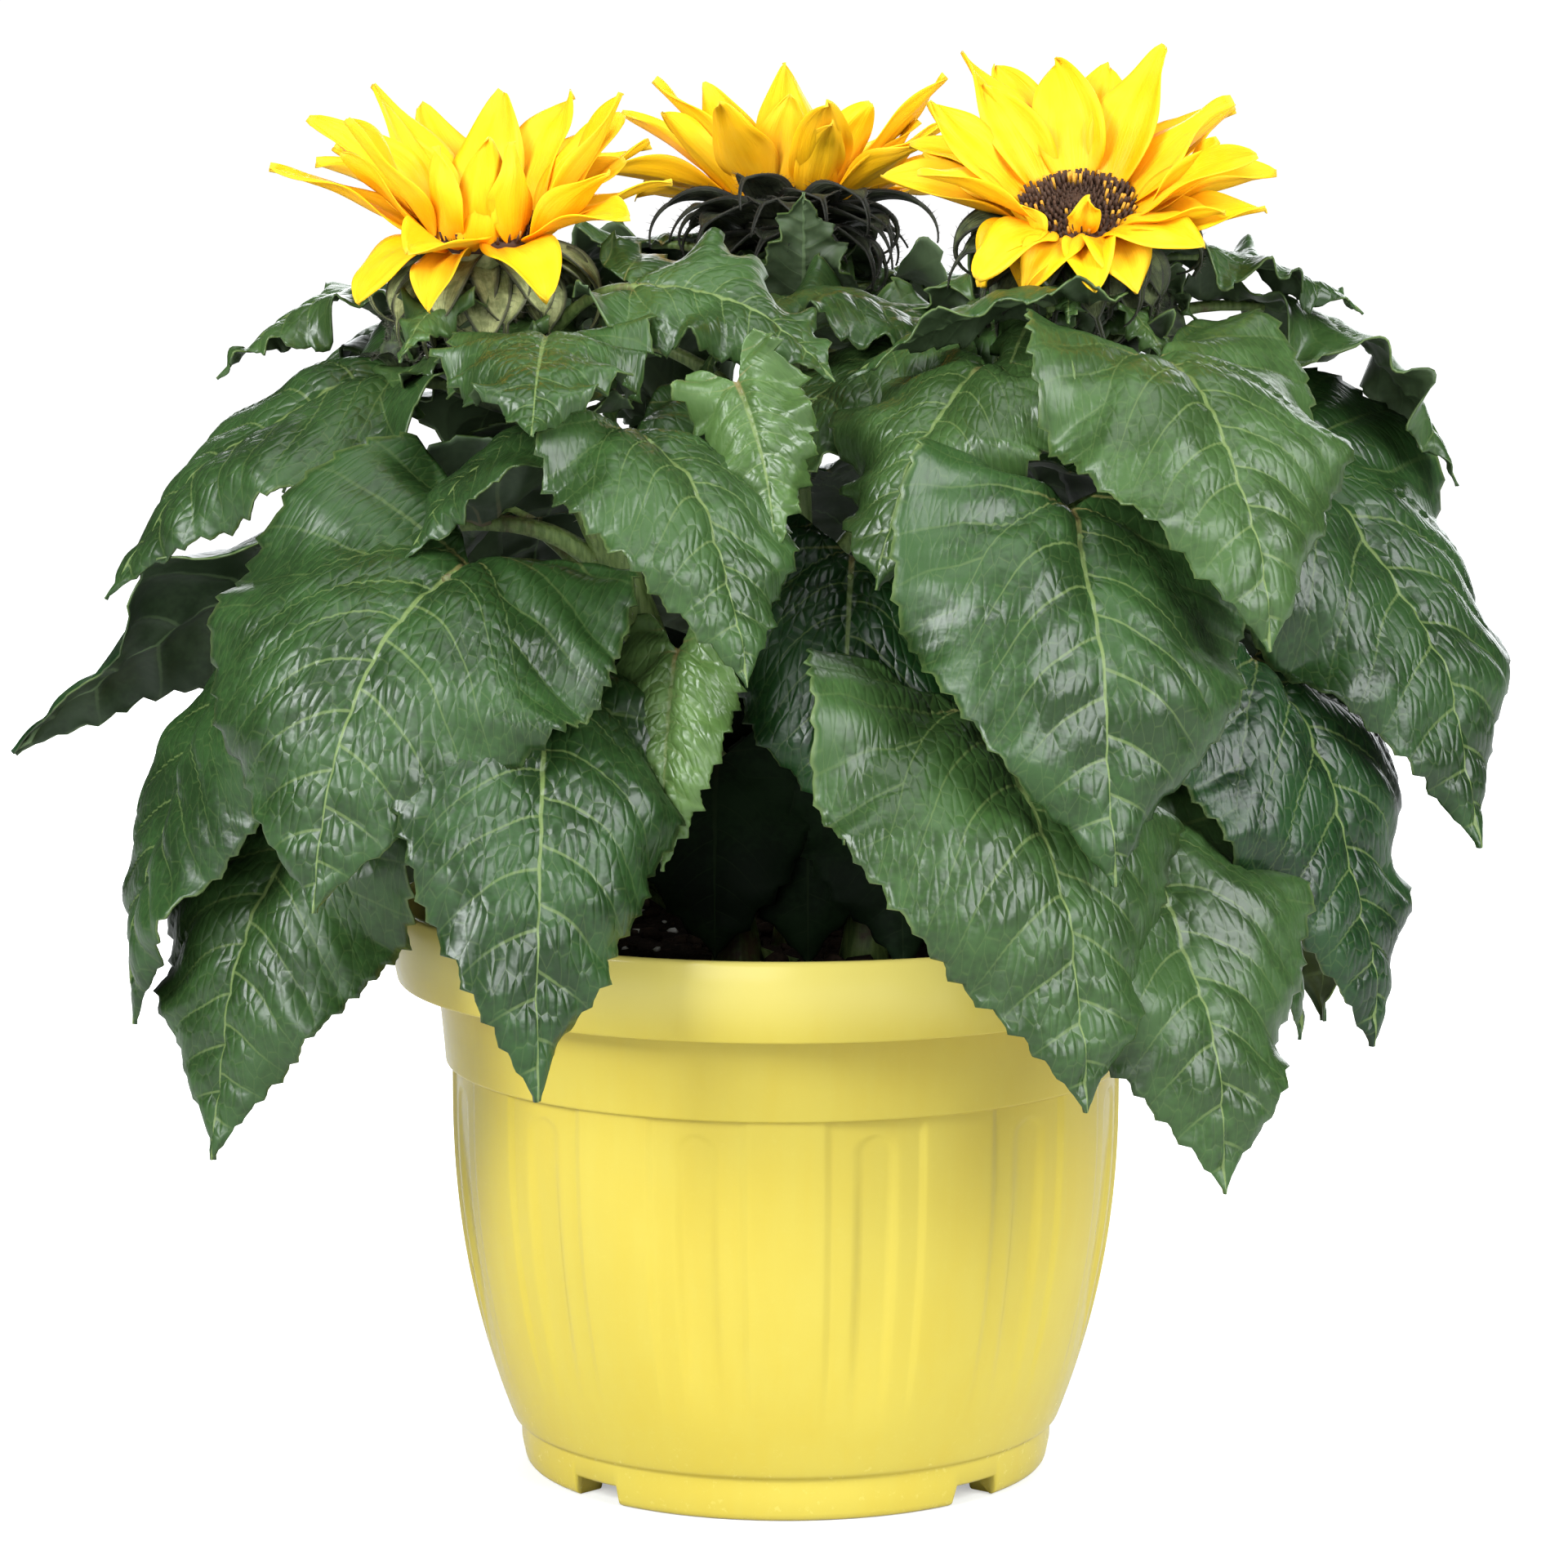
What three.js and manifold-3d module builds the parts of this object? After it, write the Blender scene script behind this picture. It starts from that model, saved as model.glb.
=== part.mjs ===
// Potted sunflower plant: a ribbed plastic pot filled with compost, three stems that each carry
// one flower head, two clusters of side buds, and heart-shaped leaves that arch out of the stems
// and hang over the rim. Millimetres, +Z up, origin at the middle of the pot's underside,
// front towards -Y.
import * as THREE from "three";
import { mergeVertices } from "three/addons/utils/BufferGeometryUtils.js";
import Module from "manifold-3d";

const wasm = await Module();
wasm.setup();

// ---------- sizes ----------
const GAP = 0.35; // air kept between neighbours
const POT_HEIGHT = 145;
const RIM_RADIUS = 100;
const WALL = 2.2;
const FOOT_RADIUS = 67;
const FOOT_HEIGHT = 10.5;
const FLUTES = 12;
const FLUTE_DEPTH = 1.7;
const NOTCH = { wide: 15, high: 5, deep: 8, first: 45 };
const SOIL_TOP = 130;
const SOIL_ROUGH = 1.6;
const LEAF_THICK = 1.3;
const RAYS = 20;
const BRACTS = 12;
const DISC_RADIUS = 14.5;
const RAY_LENGTH = 40;

// Each stem: foot on the compost, point under its flower, radius at foot and at top.
const STEMS = {
  left: { foot: [-12, -14], top: [-73, -33, 300], radius: [5.2, 3.9] },
  back: { foot: [3, 16], top: [1, 42, 304], radius: [5.2, 3.9] },
  right: { foot: [20, -6], top: [70, -32, 305], radius: [5.2, 3.9] },
};

// Each head: centre of the disc, direction and amount of its lean, rise of its rays, its bracts.
const HEADS = {
  left: { at: [-73, -35, 313], lean: -100, tilt: 10, rise: 42, bract: -50 },
  back: { at: [2, 44, 318], lean: 90, tilt: 14, rise: 36, bract: -6 },
  right: { at: [71, -36, 319], lean: -95, tilt: 26, rise: 34, bract: -28 },
};

// ---------- helpers ----------
const rad = THREE.MathUtils.degToRad;
const vec = (x, y, z) => new THREE.Vector3(x, y, z);
// an even scatter between -1 and 1 for item k
const scatter = (k, seed = 1) => {
  const v = Math.sin(k * 12.9898 + seed * 78.233) * 43758.5453;
  return 2 * (v - Math.floor(v)) - 1;
};

function solid(geometry, matrix) {
  const bare = new THREE.BufferGeometry()
    .setAttribute("position", geometry.getAttribute("position").clone())
    .setIndex(geometry.index ? geometry.index.clone() : null);
  if (matrix) bare.applyMatrix4(matrix);
  const g = mergeVertices(bare, 1e-3);
  const made = new wasm.Manifold(
    new wasm.Mesh({
      numProp: 3,
      vertProperties: new Float32Array(g.attributes.position.array),
      triVerts: new Uint32Array(g.index.array),
    }),
  );
  return made;
}

function biggest(body, slack = 0.06) {
  return body.simplify(slack).decompose().sort((a, b) => b.volume() - a.volume())[0];
}

// Round bar along a list of points, with a radius at each.
function bar(points, radii, sides) {
  const pos = [];
  const index = [];
  const last = points.length - 1;
  points.forEach((p, i) => {
    const t = points[Math.min(i + 1, last)].clone().sub(points[Math.max(i - 1, 0)]).normalize();
    const side = Math.abs(t.z) > 0.9 ? vec(1, 0, 0) : vec(0, 0, 1);
    const u = side.cross(t).normalize();
    const v = t.clone().cross(u);
    for (let k = 0; k < sides; k++) {
      const a = (2 * Math.PI * k) / sides;
      const q = p.clone().addScaledVector(u, radii[i] * Math.cos(a));
      q.addScaledVector(v, radii[i] * Math.sin(a));
      pos.push(q.x, q.y, q.z);
    }
  });
  for (let i = 0; i < last; i++)
    for (let k = 0; k < sides; k++) {
      const a = i * sides + k;
      const b = i * sides + ((k + 1) % sides);
      index.push(a, b, b + sides, a, b + sides, a + sides);
    }
  for (let k = 1; k < sides - 1; k++) {
    index.push(0, k + 1, k);
    index.push(last * sides, last * sides + k, last * sides + k + 1);
  }
  const g = new THREE.BufferGeometry();
  g.setAttribute("position", new THREE.Float32BufferAttribute(pos, 3));
  g.setIndex(index);
  return g;
}

// A midrib of given length that starts at a point and bends from pitch p0 to pitch p1.
function spine(start, heading, turn, sweep, p0, p1, length) {
  const n = 40;
  const at = [start.clone()];
  const along = [];
  const side = [];
  for (let i = 0; i <= n; i++) {
    const u = (i + 0.5) / n;
    const p = rad(p0 + (p1 - p0) * Math.min(u, 1) ** 0.8);
    const b = rad(heading + turn + sweep * u);
    along.push(vec(Math.cos(b) * Math.cos(p), Math.sin(b) * Math.cos(p), Math.sin(p)));
    side.push(vec(-Math.sin(b), Math.cos(b), 0));
    at.push(at[i].clone().addScaledVector(along[i], length / n));
  }
  return (s) => {
    const k = Math.max(s, 0) * n;
    const k0 = Math.min(Math.floor(k), n - 1);
    const point = at[k0].clone().lerp(at[k0 + 1], k - k0);
    if (s < 0) point.addScaledVector(along[0], s * length);
    return { point, along: along[k0], side: side[k0] };
  };
}

// A thin closed blade laid on a midrib: half is its half width at s, back is how far the margin
// at t lies behind the midrib, roll turns it about the midrib and droop folds its sides down.
function blade(line, o, grow = 0) {
  const g = new THREE.BoxGeometry(2, 1, 2, o.across, o.steps, 1);
  const p = g.attributes.position;
  const r = rad(o.roll || 0);
  for (let i = 0; i < p.count; i++) {
    const t = -p.getX(i);
    const s = (p.getY(i) + 0.5) ** (o.bias || 1);
    const { point, along, side } = line(s - o.back(s, t));
    const up = along.clone().cross(side);
    const e = side.clone().multiplyScalar(Math.cos(r)).addScaledVector(up, Math.sin(r));
    const n = along.clone().cross(e);
    const c = t * (o.half(s) + grow);
    const d = rad(o.droop) * Math.abs(t);
    point.addScaledVector(e, c * Math.cos(d)).addScaledVector(n, -Math.abs(c) * Math.sin(d));
    const lift = n.clone().multiplyScalar(Math.cos(d)).addScaledVector(e, Math.sign(t) * Math.sin(d));
    point.addScaledVector(lift, p.getZ(i) * (o.thick / 2 + grow));
    point.addScaledVector(along, grow * (2 * s - 1));
    p.setXYZ(i, point.x, point.y, point.z);
  }
  return g;
}

// ---------- pot ----------
// Outside from the foot up: radius, height, share of the flutes' depth at that level.
const OUTSIDE = [
  [FOOT_RADIUS - 2.6, 0, 0],
  [FOOT_RADIUS - 0.4, 1.4, 0],
  [FOOT_RADIUS + 0.4, FOOT_HEIGHT, 0],
  [FOOT_RADIUS + 2.4, FOOT_HEIGHT + 1.5, 0],
  [74, 25, 0.3],
  [79.4, 46, 0.7],
  [83.4, 72, 1],
  [84.6, 99, 1],
  [84.7, 103.6, 0],
  [86.2, 104, 0],
  [88, 125.6, 0],
  [98.8, 126.2, 0],
  [RIM_RADIUS, 136, 0],
  [RIM_RADIUS - 1.4, POT_HEIGHT, 0],
];
// Inside from the floor up: radius and height.
const FLOOR = 8.5;
const INSIDE = [
  [0, FLOOR],
  [65.5, FLOOR],
  [74.2, 37.6],
  [80.8, 79],
  [85.4, 128.2],
  [RIM_RADIUS - 3, 128.6],
  [RIM_RADIUS - 3, POT_HEIGHT + 1],
  [0, POT_HEIGHT + 1],
];
const upright = new THREE.Matrix4().makeRotationX(Math.PI / 2);
function lathe(profile, sides, matrix = upright) {
  const g = new THREE.LatheGeometry(profile.map(([r, z]) => new THREE.Vector2(r, z)), sides);
  return solid(g, matrix);
}
function potSolid() {
  // five columns a flute: the panel's two edges and middle, then the groove's two edges
  const columns = [];
  for (let k = 0; k < FLUTES; k++)
    for (const [a, cut] of [[-7.5, 0], [0, 0], [7.5, 0], [12.5, 1], [17.5, 1]])
      columns.push([rad((360 / FLUTES) * k - 90 + a), cut]);
  const n = columns.length;
  const pos = [0, 0, 0];
  for (const [r, z, share] of OUTSIDE)
    for (const [a, cut] of columns) {
      const q = r - cut * share * FLUTE_DEPTH;
      pos.push(q * Math.cos(a), q * Math.sin(a), z);
    }
  pos.push(0, 0, POT_HEIGHT);
  const last = 1 + (OUTSIDE.length - 1) * n;
  const index = [];
  for (let k = 0; k < n; k++) {
    const m = (k + 1) % n;
    index.push(0, 1 + m, 1 + k, last + n, last + k, last + m);
    for (let a = 1 + k, b = 1 + m; a < last; a += n, b += n) index.push(a, b, b + n, a, b + n, a + n);
  }
  const g = new THREE.BufferGeometry();
  g.setAttribute("position", new THREE.Float32BufferAttribute(pos, 3));
  g.setIndex(index);
  let body = solid(g).subtract(lathe(INSIDE, 40));
  // hollow between foot ring and middle pad, then the four notches through the foot ring
  body = body.subtract(lathe([[18, -1], [58, -1], [57, 5.5], [19, 5.5], [18, -1]], 20));
  for (let k = 0; k < 4; k++) {
    const cut = new THREE.BoxGeometry(14, NOTCH.wide, 2 * NOTCH.high);
    const m = new THREE.Matrix4().makeRotationZ(rad(NOTCH.first + 90 * k));
    m.multiply(new THREE.Matrix4().makeTranslation(FOOT_RADIUS - 2, 0, 0));
    body = body.subtract(solid(cut, m));
  }
  return biggest(body);
}

// ---------- compost ----------
function soilSolid() {
  const g = new THREE.CylinderGeometry(1, 1, 1, 24, 3);
  const p = g.attributes.position;
  const levels = [[66.5, FLOOR + GAP], [82.6, 104], [84.8, 128.0 - GAP], [85.1, SOIL_TOP]];
  for (let i = 0; i < p.count; i++) {
    const a = Math.atan2(-p.getZ(i), p.getX(i));
    const middle = Math.hypot(p.getX(i), p.getZ(i)) < 0.5;
    const [r, z] = levels[Math.round((p.getY(i) + 0.5) * 3)];
    const q = middle ? 0 : r - GAP - (z < 100 ? 1.4 : 0);
    p.setXYZ(i, q * Math.cos(a), q * Math.sin(a), z);
  }
  const fill = solid(g);
  // the top is a low, lumpy sheet that reaches the inside of the rim
  const top = new THREE.CylinderGeometry(96.5 - GAP, 96.5 - GAP, 1, 24, 1);
  const sheet = solid(top, new THREE.Matrix4().makeRotationX(Math.PI / 2)).refine(2);
  const lumpy = sheet.warp((v) => {
    const r = Math.hypot(v[0], v[1]);
    const edge = Math.min((96.2 - r) / 12, 1);
    const bump = Math.sin(v[0] * 0.21 + 1) * Math.cos(v[1] * 0.17) + Math.sin(r * 0.3) * 0.4;
    v[2] = v[2] > 0 ? SOIL_TOP + SOIL_ROUGH * bump * Math.max(edge, 0) : 129.1;
  });
  return biggest(fill.add(lumpy));
}

// ---------- stems ----------
function stemPoint(name, z) {
  const { foot, top } = STEMS[name];
  const t = THREE.MathUtils.clamp((z - SOIL_TOP) / (top[2] - SOIL_TOP), 0, 1);
  const e = t ** 1.4;
  return vec(foot[0] + (top[0] - foot[0]) * e, foot[1] + (top[1] - foot[1]) * e, z);
}
function stemSolid(name, grow = 0) {
  const { top, radius } = STEMS[name];
  const points = [];
  const radii = [];
  const foot = SOIL_TOP + SOIL_ROUGH + 1.4;
  for (let i = 0; i <= 5; i++) {
    const z = foot + ((top[2] - foot) * i) / 5;
    points.push(stemPoint(name, z));
    radii.push(radius[0] + ((radius[1] - radius[0]) * i) / 5 + grow);
  }
  return solid(bar(points, radii, 7));
}

// ---------- flower heads ----------
const rayHalf = (s) => 7.6 * Math.sin(Math.PI * Math.min(0.055 + 0.945 * s, 1)) ** 0.75 + 0.2;
const bractHalf = (s) => 3 * (1 - s) ** 0.6 + 0.3;
function headFrame({ at, lean, tilt }) {
  const m = new THREE.Matrix4().makeTranslation(...at);
  m.multiply(new THREE.Matrix4().makeRotationZ(rad(lean)));
  m.multiply(new THREE.Matrix4().makeRotationY(rad(tilt)));
  m.multiply(new THREE.Matrix4().makeRotationZ(rad(-lean)));
  return m;
}
function headSolid(name, grow = 0) {
  const head = HEADS[name];
  const frame = headFrame(head);
  const parts = [];
  // receptacle under the disc, and the disc as a low dome
  const profile = [[0, -13], [4.6, -13], [15, -5], [DISC_RADIUS + 1, -0.5], [DISC_RADIUS - 1, 2.2], [0, 4]];
  parts.push(lathe(profile, 14, frame.clone().multiply(upright)));
  const none = () => 0;
  for (let k = 0; k < RAYS; k++) {
    const a = (360 * k) / RAYS + 4 * scatter(k, 2);
    const inner = k % 2;
    // rays on the low side of a leaning head curl down
    const low = Math.cos(rad(a - head.lean)) * (head.tilt / 26);
    const p0 = head.rise + 10 + (inner ? 12 : -8) + 6 * scatter(k, 3) - 8 * Math.max(low, 0);
    const p1 = head.rise - 14 + (inner ? 8 : -14) + 10 * scatter(k, 4) - 44 * Math.max(low - 0.35, 0);
    const length = RAY_LENGTH * (1 + 0.1 * scatter(k, 5)) * (inner ? 0.94 : 1) * (low > 0.6 ? 0.72 : 1);
    const start = vec(Math.cos(rad(a)), Math.sin(rad(a)), 0).multiplyScalar(DISC_RADIUS - 1.5);
    start.z = inner ? 0.6 : -0.6;
    const line = spine(start, a, 0, 0, p0, p1, length);
    parts.push(
      solid(blade(line, { across: 1, steps: 3, half: rayHalf, back: none, droop: 0, thick: 1 }, grow), frame),
    );
  }
  for (let k = 0; k < BRACTS; k++) {
    const a = (360 * (k + 0.5)) / BRACTS + 5 * scatter(k, 6);
    const start = vec(Math.cos(rad(a)), Math.sin(rad(a)), 0).multiplyScalar(12.5);
    start.z = k % 2 ? -4.5 : -6;
    const tip = head.bract + 14 * scatter(k, 7) - (k % 2 ? 0 : 12);
    const line = spine(start, a, 0, 0, Math.min(tip + 38, 12), tip - 20, 21 + 3 * scatter(k, 8));
    parts.push(
      solid(blade(line, { across: 1, steps: 2, half: bractHalf, back: none, droop: 0, thick: 1.2 }, grow), frame),
    );
  }
  return biggest(wasm.Manifold.union(parts), 0.25);
}

// ---------- side buds ----------
// Each cluster: stem, place of the bud, its size.
const BUDS = {
  right: { stem: "right", at: [92, -14, 290], size: 11 },
  left: { stem: "left", at: [-95, -22, 284], size: 8 },
};
function budSolid(name, grow = 0) {
  const { stem, at, size } = BUDS[name];
  const centre = vec(...at);
  const parts = [];
  const ball = new THREE.SphereGeometry(size * 0.62 + grow, 7, 5);
  parts.push(solid(ball, new THREE.Matrix4().makeTranslation(...at)));
  const foot = stemPoint(stem, at[2] - 16);
  const mid = foot.clone().lerp(centre, 0.6);
  mid.z -= 5;
  parts.push(solid(bar([foot, mid, centre], [1.8 + grow, 1.8 + grow, 2 + grow], 4)));
  for (let k = 0; k < 6; k++) {
    const a = 60 * k + 10 * scatter(k, 9);
    const start = centre.clone().add(vec(Math.cos(rad(a)), Math.sin(rad(a)), -0.6).multiplyScalar(size * 0.4));
    const line = spine(start, a, 0, 0, 62 - 8 * (k % 3), -30 - 30 * (k % 2), size * 1.35);
    const half = (s) => size * 0.22 * (1 - s) ** 0.7 + 0.3;
    parts.push(
      solid(blade(line, { across: 1, steps: 2, half, back: () => 0, droop: 0, thick: 1.1 }, grow)),
    );
  }
  return biggest(wasm.Manifold.union(parts), 0.2);
}

// ---------- leaves ----------
// Each row: stem, then the blade's joint as azimuth, radius and height about the pot's axis, the
// blade's length, its pitch at the joint and at the tip, its turn from straight outwards, its
// roll and its width as a share of the length.
const LEAVES = [
  // large drooping leaves at the front left
  ["left", -132, 111, 239, 102, -12, -88, 4, 0, 0.97],
  ["left", -122, 104, 212, 110, -25, -92, 29, 0, 0.68],
  ["left", -160, 138, 212, 97, -40, -95, 9, 0, 0.88],
  ["left", -152, 127, 178, 93, -40, -92, 12, 0, 0.8],
  // long arching leaves at the left
  ["left", -161, 77, 244, 138, -4, -46, -25, 40, 0.5],
  ["left", -165, 96, 279, 96, -6, -60, -7, -15, 0.72],
  ["left", 174, 88, 299, 62, 4, -44, 10, 0, 0.6],
  ["left", 168, 84, 284, 50, 0, -44, 0, 0, 0.7],
  // leaves under the left flower and at the middle
  ["left", -130, 88, 290, 56, 8, -44, 38, 0, 0.9],
  ["left", -128, 84, 270, 56, -4, -60, -22, 10, 0.8],
  ["left", -113, 92, 270, 78, -12, -80, 58, 0, 0.8],
  ["back", -98, 84, 281, 44, -40, -80, 36, 40, 0.66],
  ["left", -124, 66, 302, 58, 10, -50, 106, 30, 0.7],
  ["back", 75, 18, 287, 37, 62, 80, -166, 0, 0.78],
  ["back", -90, 12, 296, 60, 10, -35, 70, 0, 0.7],
  // leaves in the shade at the middle
  ["back", -74, 58, 238, 76, -35, -90, -20, 0, 0.9],
  ["left", -107, 88, 218, 54, -55, -90, 4, 20, 0.6],
  ["back", 84, 66, 196, 58, -60, -92, 176, 0, 1.1],
  // leaves at the right of the middle
  ["right", -26, 40, 288, 80, -5, -60, -112, 0, 0.7],
  ["right", -50, 76, 282, 72, -5, -80, -76, 0, 0.88],
  ["right", -38, 88, 297, 60, 12, -40, -134, 20, 0.5],
  // large drooping leaves at the front right
  ["right", -54, 114, 252, 97, -30, -90, -25, 0, 0.95],
  ["right", -37, 110, 286, 90, -8, -86, -26, 0, 0.86],
  ["right", -66, 104, 206, 108, -22, -90, 6, 0, 0.9],
  ["right", -47, 117, 178, 98, -30, -88, -12, 0, 0.84],
  ["right", -25, 126, 213, 101, -45, -94, -4, 0, 0.86],
  ["right", -9, 124, 257, 113, -22, -88, -26, 0, 0.84],
  ["right", 9, 108, 280, 60, -20, -80, 0, 0, 0.8],
  ["right", 3, 112, 295, 78, 4, -74, -10, -10, 0.62],
  ["right", -10, 98, 308, 50, 8, -40, 15, 0, 0.66],
  ["right", 2, 100, 188, 88, -40, -92, -14, 0, 0.8],
];
// Tiers round the back, by rule: first azimuth, step, count, radius, height, length, pitches.
const TIERS = [
  [24, 26, 6, 116, 201, 104, -32, -90],
  [34, 28, 5, 110, 248, 106, -12, -84],
  [24, 26, 6, 84, 288, 78, -2, -70],
  [60, 62, 2, 56, 303, 52, 4, -40],
];
for (const [first, step, count, radius, height, length, p0, p1] of TIERS)
  for (let k = 0; k < count; k++) {
    const az = first + step * k;
    const stem = az < 55 ? "right" : az > 135 ? "left" : "back";
    const a = scatter(k + height, 1);
    const b = scatter(k + height, 2);
    const out = k % 2 ? 1 : -1;
    const row = [stem, az + 2 * a, radius + 5 * out, height + 5 * out + 2 * a, length * (1 + 0.07 * b)];
    LEAVES.push([...row, p0 + 3 * a, p1, 5 * b, 4 * a, 0.84]);
  }

const leafShape = (s) => ((s + 0.18) / 0.45) ** 0.77 * (Math.max(1 - s, 0) / 0.73) ** 1.2;
const lobes = (s, t) => 0.17 * (1 - s) ** 2 * Math.sin((Math.min(Math.abs(t) * 1.3, 1) * Math.PI) / 2) ** 1.5;
function leafSolid(row, grow = 0) {
  const [stem, azimuth, radius, height, length, p0, p1, turn, roll, width] = row;
  const a = rad(azimuth);
  const joint = vec(radius * Math.cos(a), radius * Math.sin(a), height);
  const line = spine(joint, azimuth, turn, 0, p0, p1, length);
  const half = (s) => Math.max((leafShape(s) * width * length) / 2, 0.5);
  const g = blade(line, { across: 4, steps: 4, half, back: lobes, bias: 1.2, droop: 18, roll, thick: LEAF_THICK }, grow);
  // the leaf stalk leaves the stem below the joint, rises and bends over into the midrib
  const top = STEMS[stem].top[2] - 5;
  const flat = stemPoint(stem, height - 15).distanceTo(joint);
  const foot = stemPoint(stem, Math.min(height - 8 - 0.33 * flat, top));
  const knee = joint.clone().lerp(foot, 0.4);
  knee.z = joint.z + 0.05 * flat - 1;
  const along = line(0.08).point.addScaledVector(vec(0, 0, 1), -0.6);
  const thick = 0.9 + length * 0.011;
  const stalk = new THREE.CubicBezierCurve3(foot, foot.clone().lerp(knee, 0.6), knee, along).getPoints(3);
  const radii = stalk.map((_, i) => thick * (i === 3 ? 0.7 : 1) + grow);
  return biggest(solid(g).add(solid(bar(stalk, radii, 4))));
}

// ---------- assembly ----------
const LOOK = {
  pot: { color: 0xe6cd45, roughness: 0.35, metalness: 0 },
  soil: { color: 0x1c1612, roughness: 0.95, metalness: 0 },
  stem: { color: 0x3f5426, roughness: 0.7, metalness: 0 },
  head: { color: 0xf6c21a, roughness: 0.6, metalness: 0 },
  bud: { color: 0x3a4a2c, roughness: 0.8, metalness: 0 },
  leaf: { color: 0x2f5c2a, roughness: 0.45, metalness: 0 },
};
const group = new THREE.Group();
const placed = [];
const meet = (a, b) => {
  const p = a.boundingBox();
  const q = b.boundingBox();
  return [0, 1, 2].every((i) => p.min[i] <= q.max[i] && q.min[i] <= p.max[i]);
};
// Adds one node. make(grow) builds its solid; what it shares with an earlier node is cut clear.
export const trims = [];
function place(name, look, make) {
  let body = make(0);
  const whole = body.volume();
  for (const other of placed) {
    if (!meet(body, other.body)) continue;
    const fat = other.fat();
    if (body.intersect(fat).volume() < 1e-6) continue;
    body = biggest(body.subtract(fat), 0.15);
    trims.push([name, other.name, (1 - body.volume() / whole).toFixed(3)]);
  }
  let fatter;
  placed.push({ name, body, fat: () => (fatter ??= make(GAP)) });
  const m = body.getMesh();
  const pos = new Float32Array(m.numVert * 3);
  for (let i = 0; i < m.numVert; i++)
    pos.set(m.vertProperties.subarray(i * m.numProp, i * m.numProp + 3), i * 3);
  const g = new THREE.BufferGeometry();
  g.setAttribute("position", new THREE.BufferAttribute(pos, 3));
  g.setIndex(new THREE.BufferAttribute(m.triVerts, 1));
  g.computeVertexNormals();
  const mesh = new THREE.Mesh(g, new THREE.MeshStandardMaterial(LOOK[look]));
  mesh.name = name;
  group.add(mesh);
}

place("pot", "pot", () => potSolid());
place("soil", "soil", () => soilSolid());
for (const name of Object.keys(STEMS)) place("stem_" + name, "stem", (grow) => stemSolid(name, grow));
for (const name of Object.keys(HEADS)) place("flower_" + name, "head", (grow) => headSolid(name, grow));
for (const name of Object.keys(BUDS)) place("buds_" + name, "bud", (grow) => budSolid(name, grow));
LEAVES.forEach((row, i) => {
  place("leaf_" + String(i + 1).padStart(2, "0"), "leaf", (grow) => leafSolid(row, grow));
});

export default group;
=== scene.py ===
import math

import bmesh
import bpy
import numpy as np
from mathutils import Matrix, Vector, noise


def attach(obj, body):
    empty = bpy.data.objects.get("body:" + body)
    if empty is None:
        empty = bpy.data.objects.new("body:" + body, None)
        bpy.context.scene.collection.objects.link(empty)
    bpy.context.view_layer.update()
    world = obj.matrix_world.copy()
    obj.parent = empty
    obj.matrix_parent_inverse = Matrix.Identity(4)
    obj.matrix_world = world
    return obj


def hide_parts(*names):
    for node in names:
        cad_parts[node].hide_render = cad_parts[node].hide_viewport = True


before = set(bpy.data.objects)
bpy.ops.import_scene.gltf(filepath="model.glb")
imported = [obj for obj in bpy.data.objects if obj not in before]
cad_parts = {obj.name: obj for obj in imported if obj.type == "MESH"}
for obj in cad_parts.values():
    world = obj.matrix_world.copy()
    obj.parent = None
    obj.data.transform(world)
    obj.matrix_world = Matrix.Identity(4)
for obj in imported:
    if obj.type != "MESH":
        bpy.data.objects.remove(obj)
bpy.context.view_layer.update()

# ---------------------------------------------------------------- pot
# The pot is one injection moulding in glossy yellow plastic: a foot ring with four drainage
# notches, a bellied body with twelve stepped flutes, a plain collar and a wide hollow rim.
# It stands on its foot ring and holds the compost.
MM = 0.001
POT_STEPS = 600
# the body's foot and top, and its belly: height, radius at the top and how far it draws in
BODY_FOOT, BODY_TOP = 12.0, 103.6
BELLY_HIGH, BELLY_RADIUS, BELLY_DRAW = 84, 84.7, 15.1
FLUTES = 12
LEDGE_DEPTH, LEDGE_SIDE = 0.7, (7.7, 8.6)
GROOVE_DEPTH, GROOVE_TOP, GROOVE_HALF = 1.9, 99.5, 3.1
NOTCH_WIDE, NOTCH_HIGH, NOTCH_FIRST = 15.0, 5.0, 45.0
POT_YELLOW = (0.458, 0.370, 0.056, 1)
POT_DEEP = (0.450, 0.350, 0.044, 1)
POT_SCUFF = (0.55, 0.47, 0.12, 1)
# paler yellow painted on the rim as its highlight
POT_RIM_HIGHLIGHT = (0.53, 0.455, 0.125, 1)


def feed(socket, value):
    """Links a socket to a node's output, or sets it to a plain value."""
    if isinstance(value, bpy.types.NodeSocket):
        socket.id_data.links.new(value, socket)
    else:
        socket.default_value = value


def add_node(tree, kind, **settings):
    """Adds a shader node. A setting is one of its properties, or one of its inputs by name."""
    made = tree.nodes.new("ShaderNode" + kind)
    own = [key for key in settings if key in made.bl_rna.properties]
    for key in own:
        setattr(made, key, settings[key])
    for key, value in settings.items():
        if key not in own:
            feed(made.inputs[key.replace("_", " ")], value)
    return made.outputs[0]


def reckon(operation, *terms):
    """One step of arithmetic on sockets, or on a socket and a number."""
    tree = next(term.id_data for term in terms if isinstance(term, bpy.types.NodeSocket))
    made = tree.nodes.new("ShaderNodeMath")
    made.operation = operation
    for socket, term in zip(made.inputs, terms):
        feed(socket, term)
    return made.outputs[0]


def times(a, b):
    return reckon("MULTIPLY", a, b)


def plus(a, b):
    return reckon("ADD", a, b)


def split(vector):
    """The three parts of a vector."""
    made = vector.id_data.nodes.new("ShaderNodeSeparateXYZ")
    feed(made.inputs[0], vector)
    return made.outputs


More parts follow.
